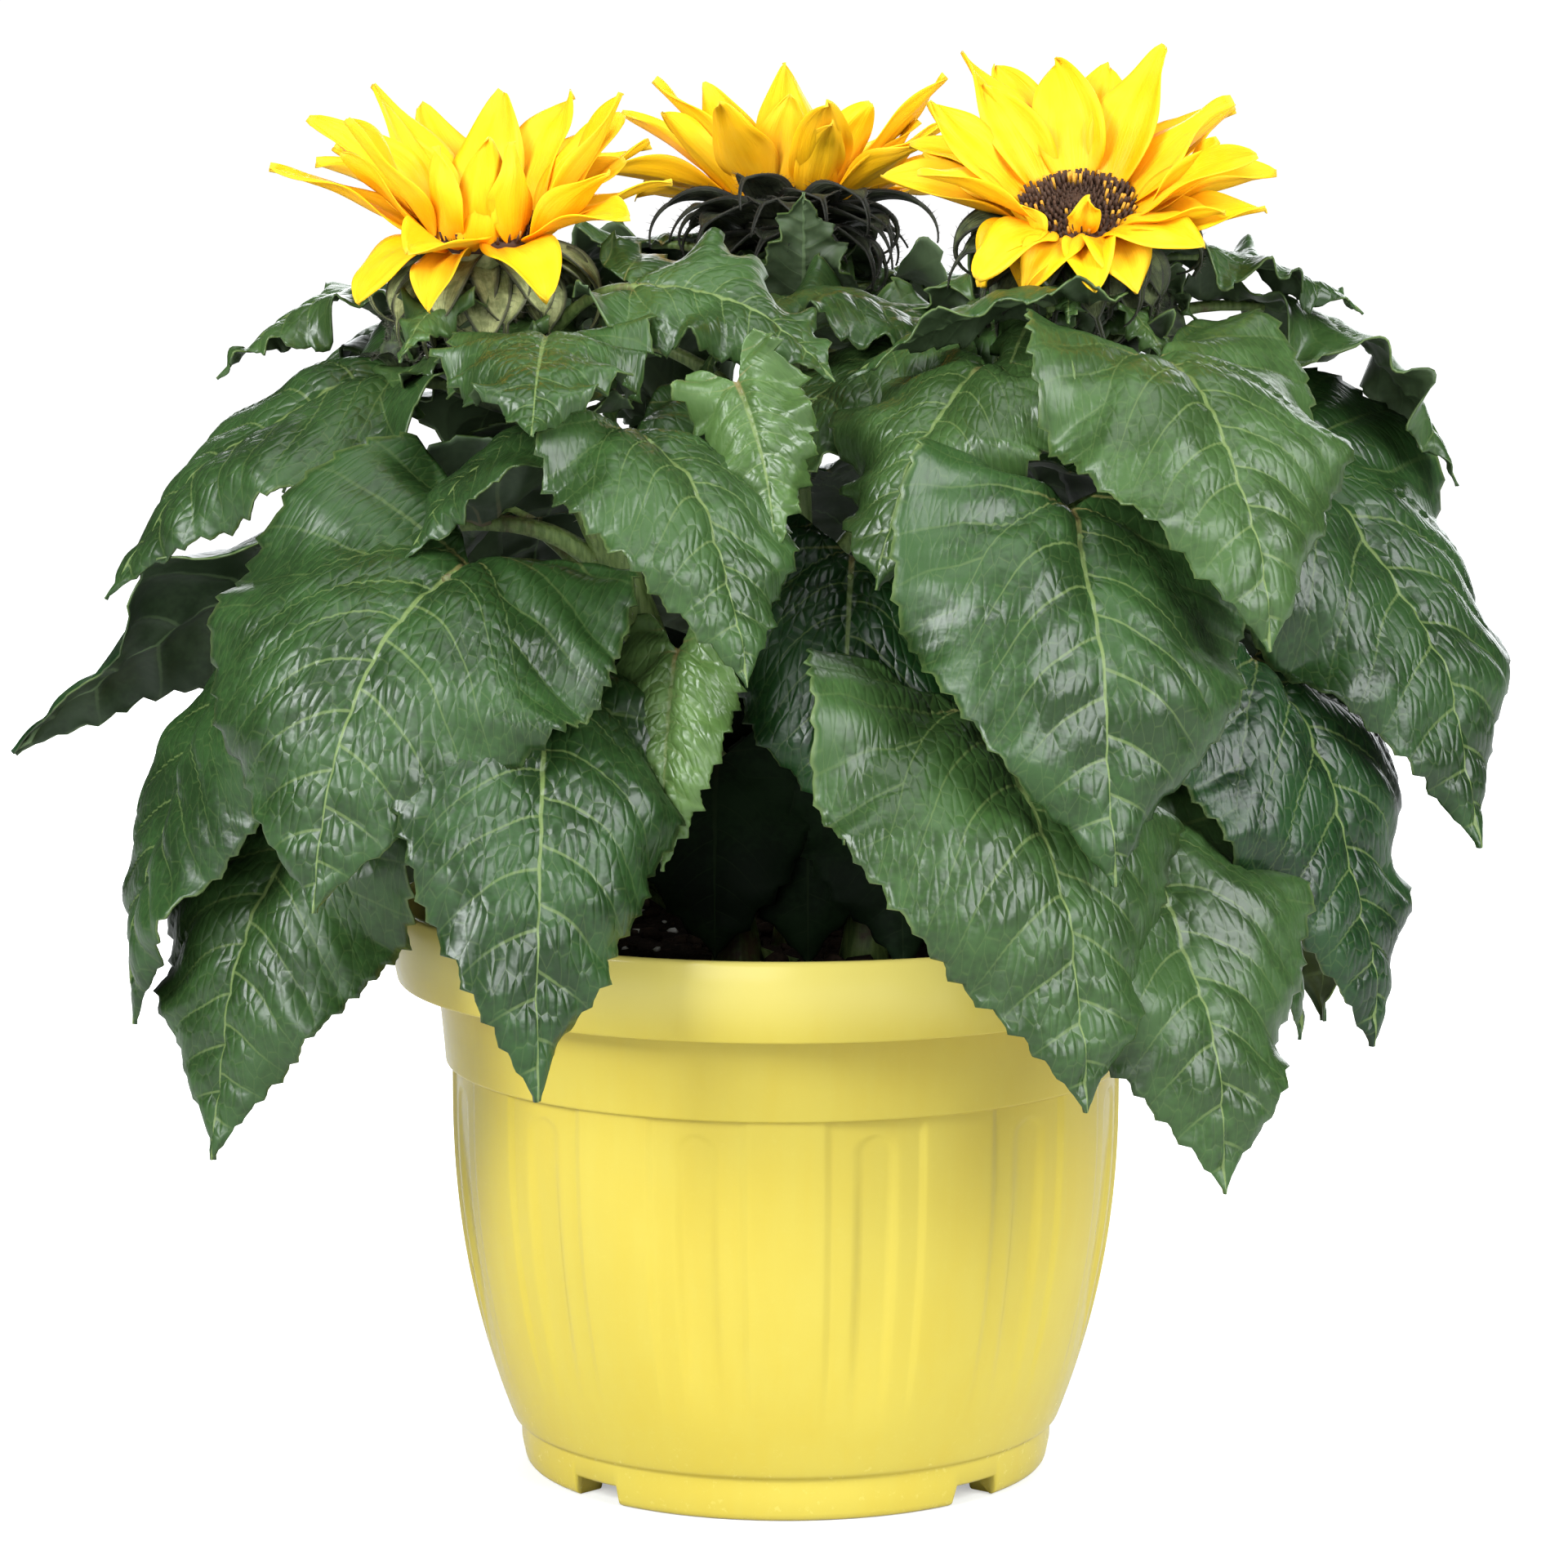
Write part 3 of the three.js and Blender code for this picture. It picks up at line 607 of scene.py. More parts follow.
ribs = [
    rib(leaf_joint(row), row[1], row[7], row[5], row[6], row[4]) for row in LEAVES + SHADE_FILLER_ROWS
]
for number, name in enumerate(STEMS):
    bm = bmesh.new()
    foot, top = SOIL_TOP - 1.5, STEMS[name]["top"][2]
    levels = [foot + (top - foot) * i / 32 for i in range(33)]
    lay_tube(bm, [stem_point(name, z) for z in levels], stem_radius, 24, 8, 0.045, number)
    hairs = []
    for k in range(STEM_HAIRS):
        z = foot + 4 + (top - foot - 6) * (k + 0.5) / STEM_HAIRS
        a = 2.4 * k
        out = Vector((math.cos(a), math.sin(a), -0.25 + 0.3 * scatter(k, 7)))
        start = Vector(stem_point(name, z)) + out * (STEM_RADIUS[1] + 0.2)
        hairs.append(hair_place(start, out, 1.6 + 0.9 * scatter(k, 8), 0.11))
    for k, (row, line) in enumerate(zip(LEAVES + SHADE_FILLER_ROWS, ribs)):
        if row[0] != name:
            continue
        curve = stalk_line(row, line)
        thick = 0.95 + row[4] * 0.0125
        swollen = lambda w: thick * (1.15 - 0.5 * w + 0.5 * math.exp(-w / 0.06))
        lay_tube(bm, curve, swollen, 12, 5, 0.06, k)
        for j in range(STALK_HAIRS):
            w = (j + 0.6) / STALK_HAIRS
            p = Vector(curve[round(w * (STALK_POINTS - 1))])
            out = Vector((scatter(j, k), scatter(j, k + 60), 0.5 + 0.5 * scatter(j, k + 120)))
            start = p + out.normalized() * thick * 0.8
            hairs.append(hair_place(start, out, 1.3 + 0.5 * scatter(j, 9), 0.09))
    if name == "left":
        lay_tube(bm, OLD_STALK, lambda w: 1.5 - 0.5 * w, 12, 5, 0.08, 77)
    stem = finished_piece(bm, "stem_and_stalks_" + name, stem_green)
    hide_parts("stem_" + name)
    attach(stem, "root")
    strewn("stem_hairs_" + name, HAIR, hairs, hair_grey)

# ---------------------------------------------------------------- leaves
# Fifty heart-shaped leaves with saw-toothed margins, glossy dark green above and duller below.
# Three main veins part at the joint, side veins run forward from them, and the skin between
# the veinlets is puffed up like quilting. The large ones hang over the rim of the pot.
LEAF_STEPS, LEAF_ACROSS = 88, 36
SKIN = 0.0005
# side veins leave the midrib at this slope and bend forwards; pitches are shares of the length
VEIN_SLOPE, VEIN_BEND = 0.28, 2.2
VEIN_PITCH, BRANCH_PITCH, SIDE_STEP = 0.135, 0.105, 0.055
# heights of the relief on a blade 100 mm long, in millimetres
PUFF_HIGH, FOLD_DEEP, LUMP_HIGH, LUMPLET_HIGH = 1.25, 1.4, 3.4, 1.2
CRIMP_HIGH, BULGE_HIGH, WAVE_HIGH, CURL_HIGH = 0.8, 3.4, 3.0, 1.5
TEETH_PER_MM, TOOTH_LONG, TOOTH_WAVED = 0.17, 1.9, 0.3
LEAF_DROOP = 18
# leaves that stand in shade get the darkest tone: painted shade
IN_PAINTED_SHADE = (5, 16, 18, 26)
PALE = {12: 0.55, 17: 0.95}
# blades turned about their midrib to face forwards, in degrees
FACED = {1: -26, 2: -24, 3: 12, 4: -16, 5: -14, 22: -10, 26: 10, 27: 12}


def leaf_shape(s):
    """Half width of a blade at share s of its length, as a share of its greatest."""
    return ((s + 0.18) / 0.45) ** 0.77 * (np.maximum(1 - s, 0) / 0.73) ** 1.2


def leaf_lobes(s, t):
    """How far the margin at t lies behind the midrib, as a share of the length."""
    return 0.17 * (1 - s) ** 2 * np.sin(np.minimum(np.abs(t) * 1.3, 1) * math.pi / 2) ** 1.5


def to_nearest(value, pitch):
    """Distance to the nearest whole number of pitches."""
    return np.abs((value + pitch / 2) % pitch - pitch / 2)


def noise_at(points, scale, seed):
    """Soft noise at points in millimetres, each lump about 1/scale across."""
    away = Vector((7.3 * seed, -3.1 * seed, 1.7 * seed))
    return np.array([noise.noise(Vector(p) * scale + away) for p in points])


def sheet_mesh(name, steps, across, place_of):
    """A sheet of steps by across faces, laid and given its maps where place_of says.

    A map is one row of values, or a pair of them for the left and the right half.
    """
    bm = bmesh.new()
    bmesh.ops.create_grid(bm, x_segments=steps, y_segments=across, size=1)
    mesh = bpy.data.meshes.new(name)
    bm.to_mesh(mesh)
    bm.free()
    flat = np.empty(3 * len(mesh.vertices))
    mesh.vertices.foreach_get("co", flat)
    flat = flat.reshape(-1, 3)
    points, maps = place_of((flat[:, 0] + 1) / 2, flat[:, 1])
    mesh.vertices.foreach_set("co", (points * MM).ravel())
    corners = np.empty(len(mesh.loops), int)
    mesh.loops.foreach_get("vertex_index", corners)
    on_right = (flat[:, 1][corners].reshape(-1, 4).mean(axis=1) > 0).repeat(4)
    for title, values in maps.items():
        left, right = values if isinstance(values, tuple) else (values, values)
        chosen = np.where(on_right[:, None], right[corners], left[corners])
        mesh.uv_layers.new(name=title).data.foreach_set("uv", chosen.ravel())
    mesh.shade_smooth()
    mesh.update()
    return mesh


def lay_sheet(bm, steps, across, place_of):
    """Adds one laid sheet to a joined piece."""
    mesh = sheet_mesh("sheet", steps, across, place_of)
    bm.from_mesh(mesh)
    bpy.data.meshes.remove(mesh)


def thicken(piece, thickness, offset, under=0):
    """Gives a skin its thickness. Its lower side takes the finish that many slots on."""
    shell = piece.modifiers.new("thickness", "SOLIDIFY")
    shell.thickness, shell.offset, shell.material_offset = thickness, offset, under


def spread_blade(line, s, back, t, reach, droop, roll, lift):
    """Points of a blade: share s of its rib, t across, reach its side arm, lift its relief."""
    point, along, side = on_rib(line, s - back)
    up = np.cross(along, side)
    r = math.radians(roll)
    e = side * math.cos(r) + up * math.sin(r)
    n = np.cross(along, e)
    d = np.radians(droop) * np.abs(t)
    c = t * reach
    down = np.stack([np.cos(d), np.sin(d)], axis=1)
    point = point + e * (c * down[:, 0])[:, None] - n * (np.abs(c) * down[:, 1])[:, None]
    skin = n * down[:, :1] + e * (np.sign(t) * down[:, 1])[:, None]
    return point + skin * lift[:, None]


def leaf_places(row, line, seed, tone, wavy=1.0):
    """Where the skin of one leaf goes, with its teeth, vein valleys, puffs and waves."""
    length, roll, width = row[4], row[8] + FACED.get(seed, 0), row[9]
    size = length / 100

    def place_of(s, t):
        s = s**1.12
        right, side = t > 0, np.abs(t)
        half = np.maximum(leaf_shape(s) * width * length / 2, 0.5)
        # saw teeth that point forwards, of uneven depth, with a smaller tooth on most of them
        count = s**0.85 * (round(TEETH_PER_MM * length) + 2) + 0.35 * right
        count += 0.35 * noise_at(np.stack([30 * s, 9 * np.sign(t), 0 * s], 1), 0.2, seed + 9)
        phase, which = count % 1, np.floor(count)
        uneven = 1 + 0.5 * np.array([scatter(w, seed) for w in which + 40 * right])
        tooth = (phase**1.5 - 0.5) * uneven + 0.22 * ((3 * phase) % 1)
        rim = side**7
        fade = np.clip((1 - s) / 0.16, 0, 1) * np.clip(s / 0.02 + 0.35, 0, 1)
        reach = half + rim * tooth * fade * (TOOTH_LONG + TOOTH_WAVED * wavy)
        back = leaf_lobes(s, t) - rim * 0.35 * tooth * fade / length
        x, y = (s - back) * length, t * reach
        u, a = x / length, np.abs(y) / length
        flat = np.stack([x / size, y / size, 0 * x], 1)
        stray = 0.045 * noise_at(flat, 0.022, seed) + 0.010 * noise_at(flat, 0.09, seed + 5)
        # ahead counts the side veins forward of the main pair, beside their outer branches
        plain = u - VEIN_SLOPE * a - VEIN_BEND * a * a + stray
        # the side veins of the two halves leave the midrib by turns
        stepped = plain + SIDE_STEP * np.clip(plain / 0.1, 0, 1)
        ahead = np.where(right, stepped, plain)
        beside = u - 0.10 * a + 1.4 * stray + 0.04 * right
        outside = np.minimum(to_nearest(beside, BRANCH_PITCH), -ahead)
        off = np.where(ahead > 0, to_nearest(ahead, VEIN_PITCH), outside)
        puff = np.minimum(off / 0.05, 1)
        puff = puff * (2 - puff) * (0.3 + 0.7 * np.clip((1 - side) / 0.3, 0, 1))
        fold = np.exp(-((a / 0.020) ** 2))
        lift = size * (PUFF_HIGH * puff - FOLD_DEEP * fold * (1 - s))
        lumps, lumplets = noise_at(flat, 0.030, seed + 1), noise_at(flat, 0.085, seed + 2)
        lift += size * (LUMP_HIGH * lumps + LUMPLET_HIGH * lumplets)
        # close crimps beside the main veins
        crimps = np.exp(-a / 0.10) * np.clip(1.1 - s, 0, 1)
        lift += size * CRIMP_HIGH * crimps * noise_at(flat * (1.6, 0.7, 1), 0.22, seed + 4)
        # the blade bulges between the three main veins
        spoke = np.abs(np.sin(math.pi * np.arctan2(a, u + 0.03)))
        outwards = np.hypot(u, a) / 0.35
        lift += size * BULGE_HIGH * spoke * outwards * np.exp(1 - outwards)
        # long waves and short curls of the margin
        wave = np.sin(2 * math.pi * (2.2 * s + 0.17 * seed) + 1.3 * right)
        wave += 0.6 * np.sin(2 * math.pi * (4.7 * s + 0.31 * seed) - 0.8 * right)
        lift += wavy * size * WAVE_HIGH * side**2.4 * wave * np.clip((1 - s) / 0.3, 0, 1)
        curls = np.sin(2 * math.pi * (7.3 * s + 0.53 * seed) + 0.9 * right)
        lift += (wavy - 1) * size * CURL_HIGH * side**4 * curls * np.clip((1 - s) / 0.2, 0, 1)
        # the two halves rise a little beside the joint and hang further out
        droop = LEAF_DROOP * (1 - 1.5 * np.exp(-((s / 0.22) ** 2)))
        droop += 12 * noise_at(np.stack([40 * s, 9 * np.sign(t), 0 * s], 1), 0.08, seed + 3)
        points = spread_blade(line, s, back, t, reach, droop, roll, lift)
        return points, {
            "skin": np.stack([x, y], 1) * MM + (0.37 * seed, 0),
            "veins": (np.stack([plain, beside], 1), np.stack([stepped, beside], 1)),
            "margin": np.stack([s, t], 1),
            "nature": np.broadcast_to((tone, 0.5 + 0.5 * scatter(seed, 21)), (len(s), 2)),
        }

    return place_of


def leaf_map(tree, name):
    """The two values of one of a leaf's maps."""
    return split(add_node(tree, "UVMap", uv_map=name))[:2]


def stretched(x, y, across, along):
    """A pair of values as a place, each spread out by its own factor."""
    made = x.id_data.nodes.new("ShaderNodeCombineXYZ")
    feed(made.inputs[0], times(x, across))
    feed(made.inputs[1], times(y, along))
    return made.outputs[0]


def leaf_finish(name, dark, light, vein, joint, roughness, specular, quilt, netted=False):
    """Leaf skin: veins in their own colour, quilting between the veinlets, a redder joint.

    dark and light are each a pair of colours, for the oldest leaf and the youngest.
    """
    finish, tree, shader, place = new_finish(name, roughness, specular)
    skin = add_node(tree, "UVMap", uv_map="skin")
    across = reckon("ABSOLUTE", split(skin)[1])
    ahead, beside = leaf_map(tree, "veins")
    share, side = leaf_map(tree, "margin")
    tone, crimp = leaf_map(tree, "nature")
    side = reckon("ABSOLUTE", side)
    # distance from the nearest side vein, ahead of the main pair and outside it
    inner = reckon("PINGPONG", ahead, VEIN_PITCH / 2)
    branch = reckon("PINGPONG", beside, BRANCH_PITCH / 2)
    outer = reckon("MINIMUM", branch, times(ahead, -1.0))
    front = reckon("GREATER_THAN", ahead, 0.0)
    behind = reckon("SUBTRACT", 1.0, front)
    off = plus(times(inner, front), times(outer, behind))
    thin = ease(side, 0.05, 1.0, 0.0048, 0.0036)
    side_line = ease(reckon("DIVIDE", off, thin), 0.35, 1.15, 1, 0)
    thick = ease(share, 0, 0.9, 0.0008, 0.0002)
    midrib = ease(reckon("DIVIDE", across, thick), 0.5, 1.15, 1, 0)
    tones = add_node(
        tree, "TexNoise", noise_dimensions="2D", Vector=skin, Scale=42, Detail=2, Roughness=0.6
    )
    fine = add_node(
        tree, "TexNoise", noise_dimensions="2D", Vector=skin, Scale=520, Detail=1, Roughness=0.6
    )
    low, high = tint(tone, *dark), tint(tone, *light)
    mixed = plus(times(tones, 0.72), times(fine, 0.28))
    green = tint(ease(mixed, 0.36, 0.64), low, high)
    side_line = times(side_line, ease(side, 0.05, 0.9, 0.60, 0.16))
    weight = reckon("MAXIMUM", times(midrib, 0.95), side_line)
    if netted:
        # veinlets cross from side vein to side vein
        cells = add_node(
            tree, "TexVoronoi", voronoi_dimensions="2D", feature="DISTANCE_TO_EDGE",
            Vector=stretched(ahead, across, 17.0, 370.0), Scale=1.0, Randomness=0.9,
        )
        rungs = ease(cells, 0.0, 0.06, 0.15, 0)
        green = tint(reckon("MAXIMUM", weight, rungs), green, vein)
        swelling = ease(cells, -0.15, 0.32)
    else:
        green = tint(weight, green, vein)
        swelling = tones
    from_joint = plus(share, times(across, 4.0))
    ruddy = times(weight, ease(from_joint, 0.01, 0.15, 0.7, 0))
    green = tint(ruddy, green, joint)
    # the very edge is paler
    edge = times(ease(side, 0.97, 1.0), ease(tones, 0.38, 0.62, 0.15, 0.6))
    sheen = ease(tones, 0.32, 0.68, roughness - 0.04, roughness + 0.07)
    paint(shader, tint(edge, green, vein), plus(sheen, times(weight, 0.10)))
    # the quilting is strongest near the midrib, and some leaves are smoother
    crimped = times(ease(side, 0.15, 0.95, 0.95, 0.25), plus(0.4, crimp))
    puffs = times(swelling, crimped)
    if netted:
        puffs = plus(puffs, times(fine, 0.30))
    emboss(shader, puffs, quilt)
    return finish


leaf_green = leaf_finish(
    "leaf_green",
    dark=((0.0035, 0.0150, 0.0035, 1), (0.055, 0.105, 0.026, 1)),
    light=((0.0080, 0.0350, 0.0065, 1), (0.084, 0.150, 0.040, 1)),
    vein=(0.105, 0.150, 0.045, 1), joint=(0.18, 0.12, 0.045, 1),
    roughness=0.34, specular=0.4, quilt=0.00026, netted=True,
)
# a near-black, dull finish for the filler leaves: painted shade
leaf_low = leaf_finish(
    "leaf_low",
    dark=((0.0030, 0.008, 0.0025, 1), (0.006, 0.014, 0.004, 1)),
    light=((0.0060, 0.016, 0.0045, 1), (0.010, 0.024, 0.007, 1)),
    vein=(0.012, 0.022, 0.008, 1), joint=(0.02, 0.015, 0.008, 1),
    roughness=0.75, specular=0.15, quilt=0.00060,
)
# the lower side sees its relief from behind
leaf_under = leaf_finish(
    "leaf_under",
    dark=((0.016, 0.030, 0.012, 1), (0.080, 0.120, 0.050, 1)),
    light=((0.030, 0.052, 0.022, 1), (0.110, 0.165, 0.075, 1)),
    vein=(0.09, 0.14, 0.06, 1), joint=(0.12, 0.07, 0.045, 1),
    roughness=0.55, specular=0.4, quilt=-0.00100,
)

# near-black filler leaves under the crown: painted shade that darkens the gap
bm = bmesh.new()
for number, (row, line) in enumerate(zip(SHADE_FILLER_ROWS, ribs[len(LEAVES):]), len(LEAVES) + 1):
    lay_sheet(bm, 44, 18, leaf_places(row, line, number, 0.0))
low = finished_piece(bm, "shade_filler_leaves", leaf_low)
thicken(low, SKIN, -1)
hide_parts("stem_left", "stem_back", "stem_right")
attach(low, "root")

# the topmost leaves are the youngest, the palest and the most waved
for number, (row, line) in enumerate(zip(LEAVES, ribs), 1):
    topmost = row[3] >= 280
    tone = PALE.get(number, 0.20 + 0.10 * scatter(number, 30)) + 0.10 * topmost
    # leaves in shade are painted in the darkest tone: painted shade
    if number in IN_PAINTED_SHADE:
        tone = 0.0
    wavy = 1.2 if number == 21 else 2.8 if topmost and row[4] < 84 else 1.0
    name = "leaf_blade_%02d" % number
    places = leaf_places(row, line, number, tone, wavy)
    leaf = placed_piece(
        sheet_mesh(name, LEAF_STEPS, LEAF_ACROSS, places), name, leaf_green, leaf_under
    )
    thicken(leaf, SKIN, -1, under=1)
    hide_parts("leaf_%02d" % number)
    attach(leaf, "root")

# ---------------------------------------------------------------- flower heads
# Each head is a fleshy cup that carries a dark disc of small florets, a ring of pleated yellow
# rays and, behind them, three rows of hairy green bracts whose long tips curl back.
# Each head: its place, which way and how far it is tilted, the rise of its rays and bracts in
# degrees, and the half width of a bract's base.
HEADS = {
    name: dict(zip(("at", "lean", "tilt", "rise", "bract", "base"), row))
    for name, *row in (
        ("left", (-73, -35, 313), -100, 10, 42, -66, 7.8),
        ("back", (2, 44, 318), 90, 14, 36, -12, 7.6),
        ("right", (71, -36, 319), -95, 26, 34, -40, 6.8),
    )
}
# How the front rays are held, in turn: pitch at foot and tip, share of the length, half width.
FRONT_RAYS = {
    "left": (
        (20, -52, 0.80, 9.0), (76, 96, 0.62, 6.6), (34, -14, 0.92, 9.4), (78, 84, 0.66, 6.0)
    ),
    "back": ((60, 72, 0.80, 8.6), (50, 34, 0.76, 8.8), (64, 56, 0.64, 7.8)),
    "right": (
        (32, -66, 0.58, 8.0), (36, -34, 0.68, 7.6), (46, -80, 0.54, 6.6), (64, 70, 0.30, 3.8)
    ),
}
RAYS, FILLERS, BRACTS = 20, 9, 12
RAY_LENGTH, RAY_HALF = 40, 8.8
FILLER_SHARE, FILLER_HALF = 0.82, 6.4
DISC_RADIUS = 14.5
FLORETS, GOLDEN_TURN = 330, 137.508
OPEN_FLORET = small_cone(5, 0.48, 0.36)
CLOSED_FLORET = small_cone(5, 0.52, 0.12)
MARGIN_HAIRS = 18
# each head's bract colours are painted light and shade: the left head's painted lighter, the back
# head's painted near black, the right head's painted dark
BRACT_LIT_AND_SHADED_TONES = {
    "left": ((0.170, 0.195, 0.070, 1), (0.380, 0.400, 0.180, 1)),
    "back": ((0.012, 0.014, 0.008, 1), (0.040, 0.048, 0.026, 1)),
    "right": ((0.030, 0.040, 0.016, 1), (0.085, 0.105, 0.040, 1)),
}


def ray_finish():
    """Petal yellow, deeper and redder towards the disc, with fine veins along it."""
    finish, tree, shader, place = new_finish("ray_yellow", roughness=0.5, specular=0.15)
    shader.inputs["Subsurface Weight"].default_value = 0.25
    shader.inputs["Subsurface Radius"].default_value = (1.0, 0.7, 0.1)
    shader.inputs["Subsurface Scale"].default_value = 0.002
    along, aside = leaf_map(tree, "petal")
    lines = stretched(along, aside, 3.0, 11.0)
    veins = add_node(tree, "TexNoise", Vector=lines, Scale=1.0, Detail=2, Roughness=0.6)
    tone = add_node(tree, "TexNoise", Vector=place, Scale=90, Detail=2)
    deep, fresh = (0.76, 0.29, 0.0005, 1), (0.80, 0.41, 0.006, 1)
    colour = tint(ease(along, 0.02, 0.62), deep, fresh)
    colour = tint(ease(tone, 0.35, 0.7, 0, 0.6), colour, (0.82, 0.45, 0.022, 1))
    colour = tint(ease(veins, 0.52, 0.72, 0, 0.22), colour, (0.70, 0.35, 0.005, 1))
    colour = tint(ease(along, 0.95, 1.0, 0, 0.35), colour, (0.55, 0.42, 0.06, 1))
    paint(shader, colour, ease(veins, 0.3, 0.7, 0.44, 0.58))
    emboss(shader, veins, 0.0004, 0.5)
    return finish


def head_matrix(head):
    """Sets a head on its stem, tilted towards its lean."""
    lean, tilt = math.radians(head["lean"]), math.radians(head["tilt"])
    turn = Matrix.Rotation(lean, 4, "Z") @ Matrix.Rotation(tilt, 4, "Y")
    return Matrix.Translation(Vector(head["at"])) @ turn @ Matrix.Rotation(-lean, 4, "Z")


def carried(matrix, points):
    """Points of a head in the plant's own place."""
    grid = np.array(matrix)
    return points @ grid[:3, :3].T + grid[:3, 3]


def ray_places(line, matrix, k, seed, half_wide):
    """Where the skin of one ray goes: a pointed oval, pleated, cupped and a little twisted."""
    cup, twist = 2.6 + 1.8 * scatter(k, seed + 7), 34 * scatter(k, seed + 8)

    def place_of(s, t):
        swell = np.sin(math.pi * np.minimum(0.06 + 0.94 * s**0.92, 1)) ** 0.72
        half = half_wide * swell * (1.10 - 0.28 * s) + 0.25
        arch = np.sin(math.pi * np.clip(s, 0, 1))
        pleats = 0.45 * np.cos(2.5 * math.pi * t) * arch**0.5
        turns = 1.4 * s + scatter(k, seed + 4)
        ripple = 1.1 * np.abs(t) ** 2 * np.sin(2 * math.pi * turns + 2 * t)
        lift = cup * (t * t - 0.4) * arch**0.8 + pleats + ripple
        lift += 1.8 * s * noise_at(np.stack([9 * s, 4 * t, 0 * s], 1), 0.3, k + seed)
        point, along, side = on_rib(line, s)
        up = np.cross(along, side)
        r = np.radians(twist * s)[:, None]
        e = side * np.cos(r) + up * np.sin(r)
        n = np.cross(along, e)
        bend = 7 * scatter(k, seed + 5) * s * s
        point = point + e * (t * half + bend)[:, None] + n * lift[:, None]
        return carried(matrix, point), {"petal": np.stack([s, t], 1)}

    return place_of


ray_yellow = ray_finish()
floret_dark = speckled(
    "floret_dark", 900, (0.012, 0.005, 0.003, 1), (0.075, 0.030, 0.012, 1), 0.75, detail=3
)
pollen = speckled("pollen_orange", 700, (0.42, 0.17, 0.01, 1), (0.62, 0.34, 0.03, 1), 0.8)
bract_hair = speckled("bract_hair", 80, (0.035, 0.032, 0.025, 1), (0.13, 0.12, 0.095, 1), 0.7)


def bract_finish(name, deep, fresh):
    """Rough green bract: ribs along it, dark margins and dark tip."""
    finish, tree, shader, place = new_finish("bract_" + name, roughness=0.62, specular=0.35)
    along, aside = leaf_map(tree, "petal")
    mottle = add_node(tree, "TexNoise", Vector=place, Scale=260, Detail=3, Roughness=0.65)
    lines = stretched(along, aside, 2.0, 7.0)
    ridges = add_node(tree, "TexNoise", Vector=lines, Scale=1.0, Detail=3)
    colour = tint(ease(mottle, 0.35, 0.65), deep, fresh)
    colour = tint(ease(ridges, 0.52, 0.68, 0, 0.4), colour, deep)
    rim = ease(reckon("ABSOLUTE", aside), 0.74, 0.99, 0, 0.85)
    end = ease(along, 0.60, 1.0, 0, 0.7)
    dark = reckon("MAXIMUM", rim, end)
    paint(shader, tint(dark, colour, (0.020, 0.020, 0.016, 1)))
    emboss(shader, plus(times(mottle, 0.5), ridges), 0.0007, 0.9)
    return finish


def lay_bract(bm, hairs, line, matrix, k, seed, base, cup):
    """One bract: a broad ribbed base, a thin tail that curls, stiff hairs on both margins."""

    def place_of(s, t):
        body = np.cos(np.clip(s / 0.62, 0, 1) * math.pi / 2) ** 0.8 * (0.82 + 0.8 * s)
        half = base * body + 0.75 * (1 - s) ** 0.7 + 0.15
        point, along, side = on_rib(line, s)
        n = np.cross(along, side)
        wave = 0.7 * np.sin(9 * s + k) * t * np.abs(t) * (1 - s)
        lift = cup * (t * t - 0.3) * (1 - s) + wave + 0.3 * np.cos(4 * math.pi * t) * (1 - s)
        bend = 6 * scatter(k, seed + 6) * s * s
        point = point + side * (t * half + bend)[:, None] + n * lift[:, None]
        return carried(matrix, point), {"petal": np.stack([s, t], 1)}

    lay_sheet(bm, 24, 6, place_of)
    s = np.repeat(np.linspace(0.04, 0.97, MARGIN_HAIRS), 2)
    t = np.tile((1.0, -1.0), MARGIN_HAIRS)
    for j, (edge, inner) in enumerate(zip(place_of(s, t)[0], place_of(s, t * 0.5)[0])):
        out = Vector(edge - inner).normalized() + Vector((0, 0, 0.4 * scatter(j, k)))
        hairs.append(hair_place(edge, out, 1.5 + 0.6 * scatter(j + 40 * k, seed), 0.08))


def frontness(angle):
    """1 straight towards the front, -1 straight towards the back."""
    return math.cos(math.radians(angle + 90))


def lay_rays(bm, name, head, matrix, seed):
    """The ring of rays, two deep, and a few narrow ones that fill in behind them."""
    front = FRONT_RAYS[name]
    for k in range(RAYS + FILLERS):
        filler, inner = k >= RAYS, k % 2
        a = 40 * k + 14 * scatter(k, 12 + seed) if filler else 360 * k / RAYS + 4 * scatter(k, 2)
        low = math.cos(math.radians(a - head["lean"])) * head["tilt"] / 26
        p0 = head["rise"] + 10 + (14 if inner else -8) + 8 * scatter(k, 3) - 8 * max(low, 0)
        p1 = head["rise"] - 12 + (10 if inner else -16) + 16 * scatter(k, seed + 4)
        p1 -= 44 * max(low - 0.35, 0)
        length = RAY_LENGTH * (1 + 0.1 * scatter(k, 5)) * (0.94 if inner else 1)
        length *= 0.72 if low > 0.6 else 1
        # the right head's rays are shorter towards the back head
        length *= 0.84 if name == "right" and math.cos(math.radians(a - 180)) > 0.6 else 1
        wide = RAY_HALF + 0.8 * scatter(k, seed + 9)
        if frontness(a) > 0.55:
            p0, p1, share, wide = front[k % len(front)]
            p0, p1 = p0 + 8 * scatter(k, 15), p1 + 10 * scatter(k, seed + 2)
            length = RAY_LENGTH * share
        start = around(a, DISC_RADIUS - 1.5, 0.6 if inner else -0.6)
        if filler:
            length, wide = length * FILLER_SHARE, FILLER_HALF
            start = around(a, DISC_RADIUS - 1.0, -1.6)
        line = rib(start, a, 0, p0, p1, length)
        lay_sheet(bm, 24, 10, ray_places(line, matrix, k, seed, wide))


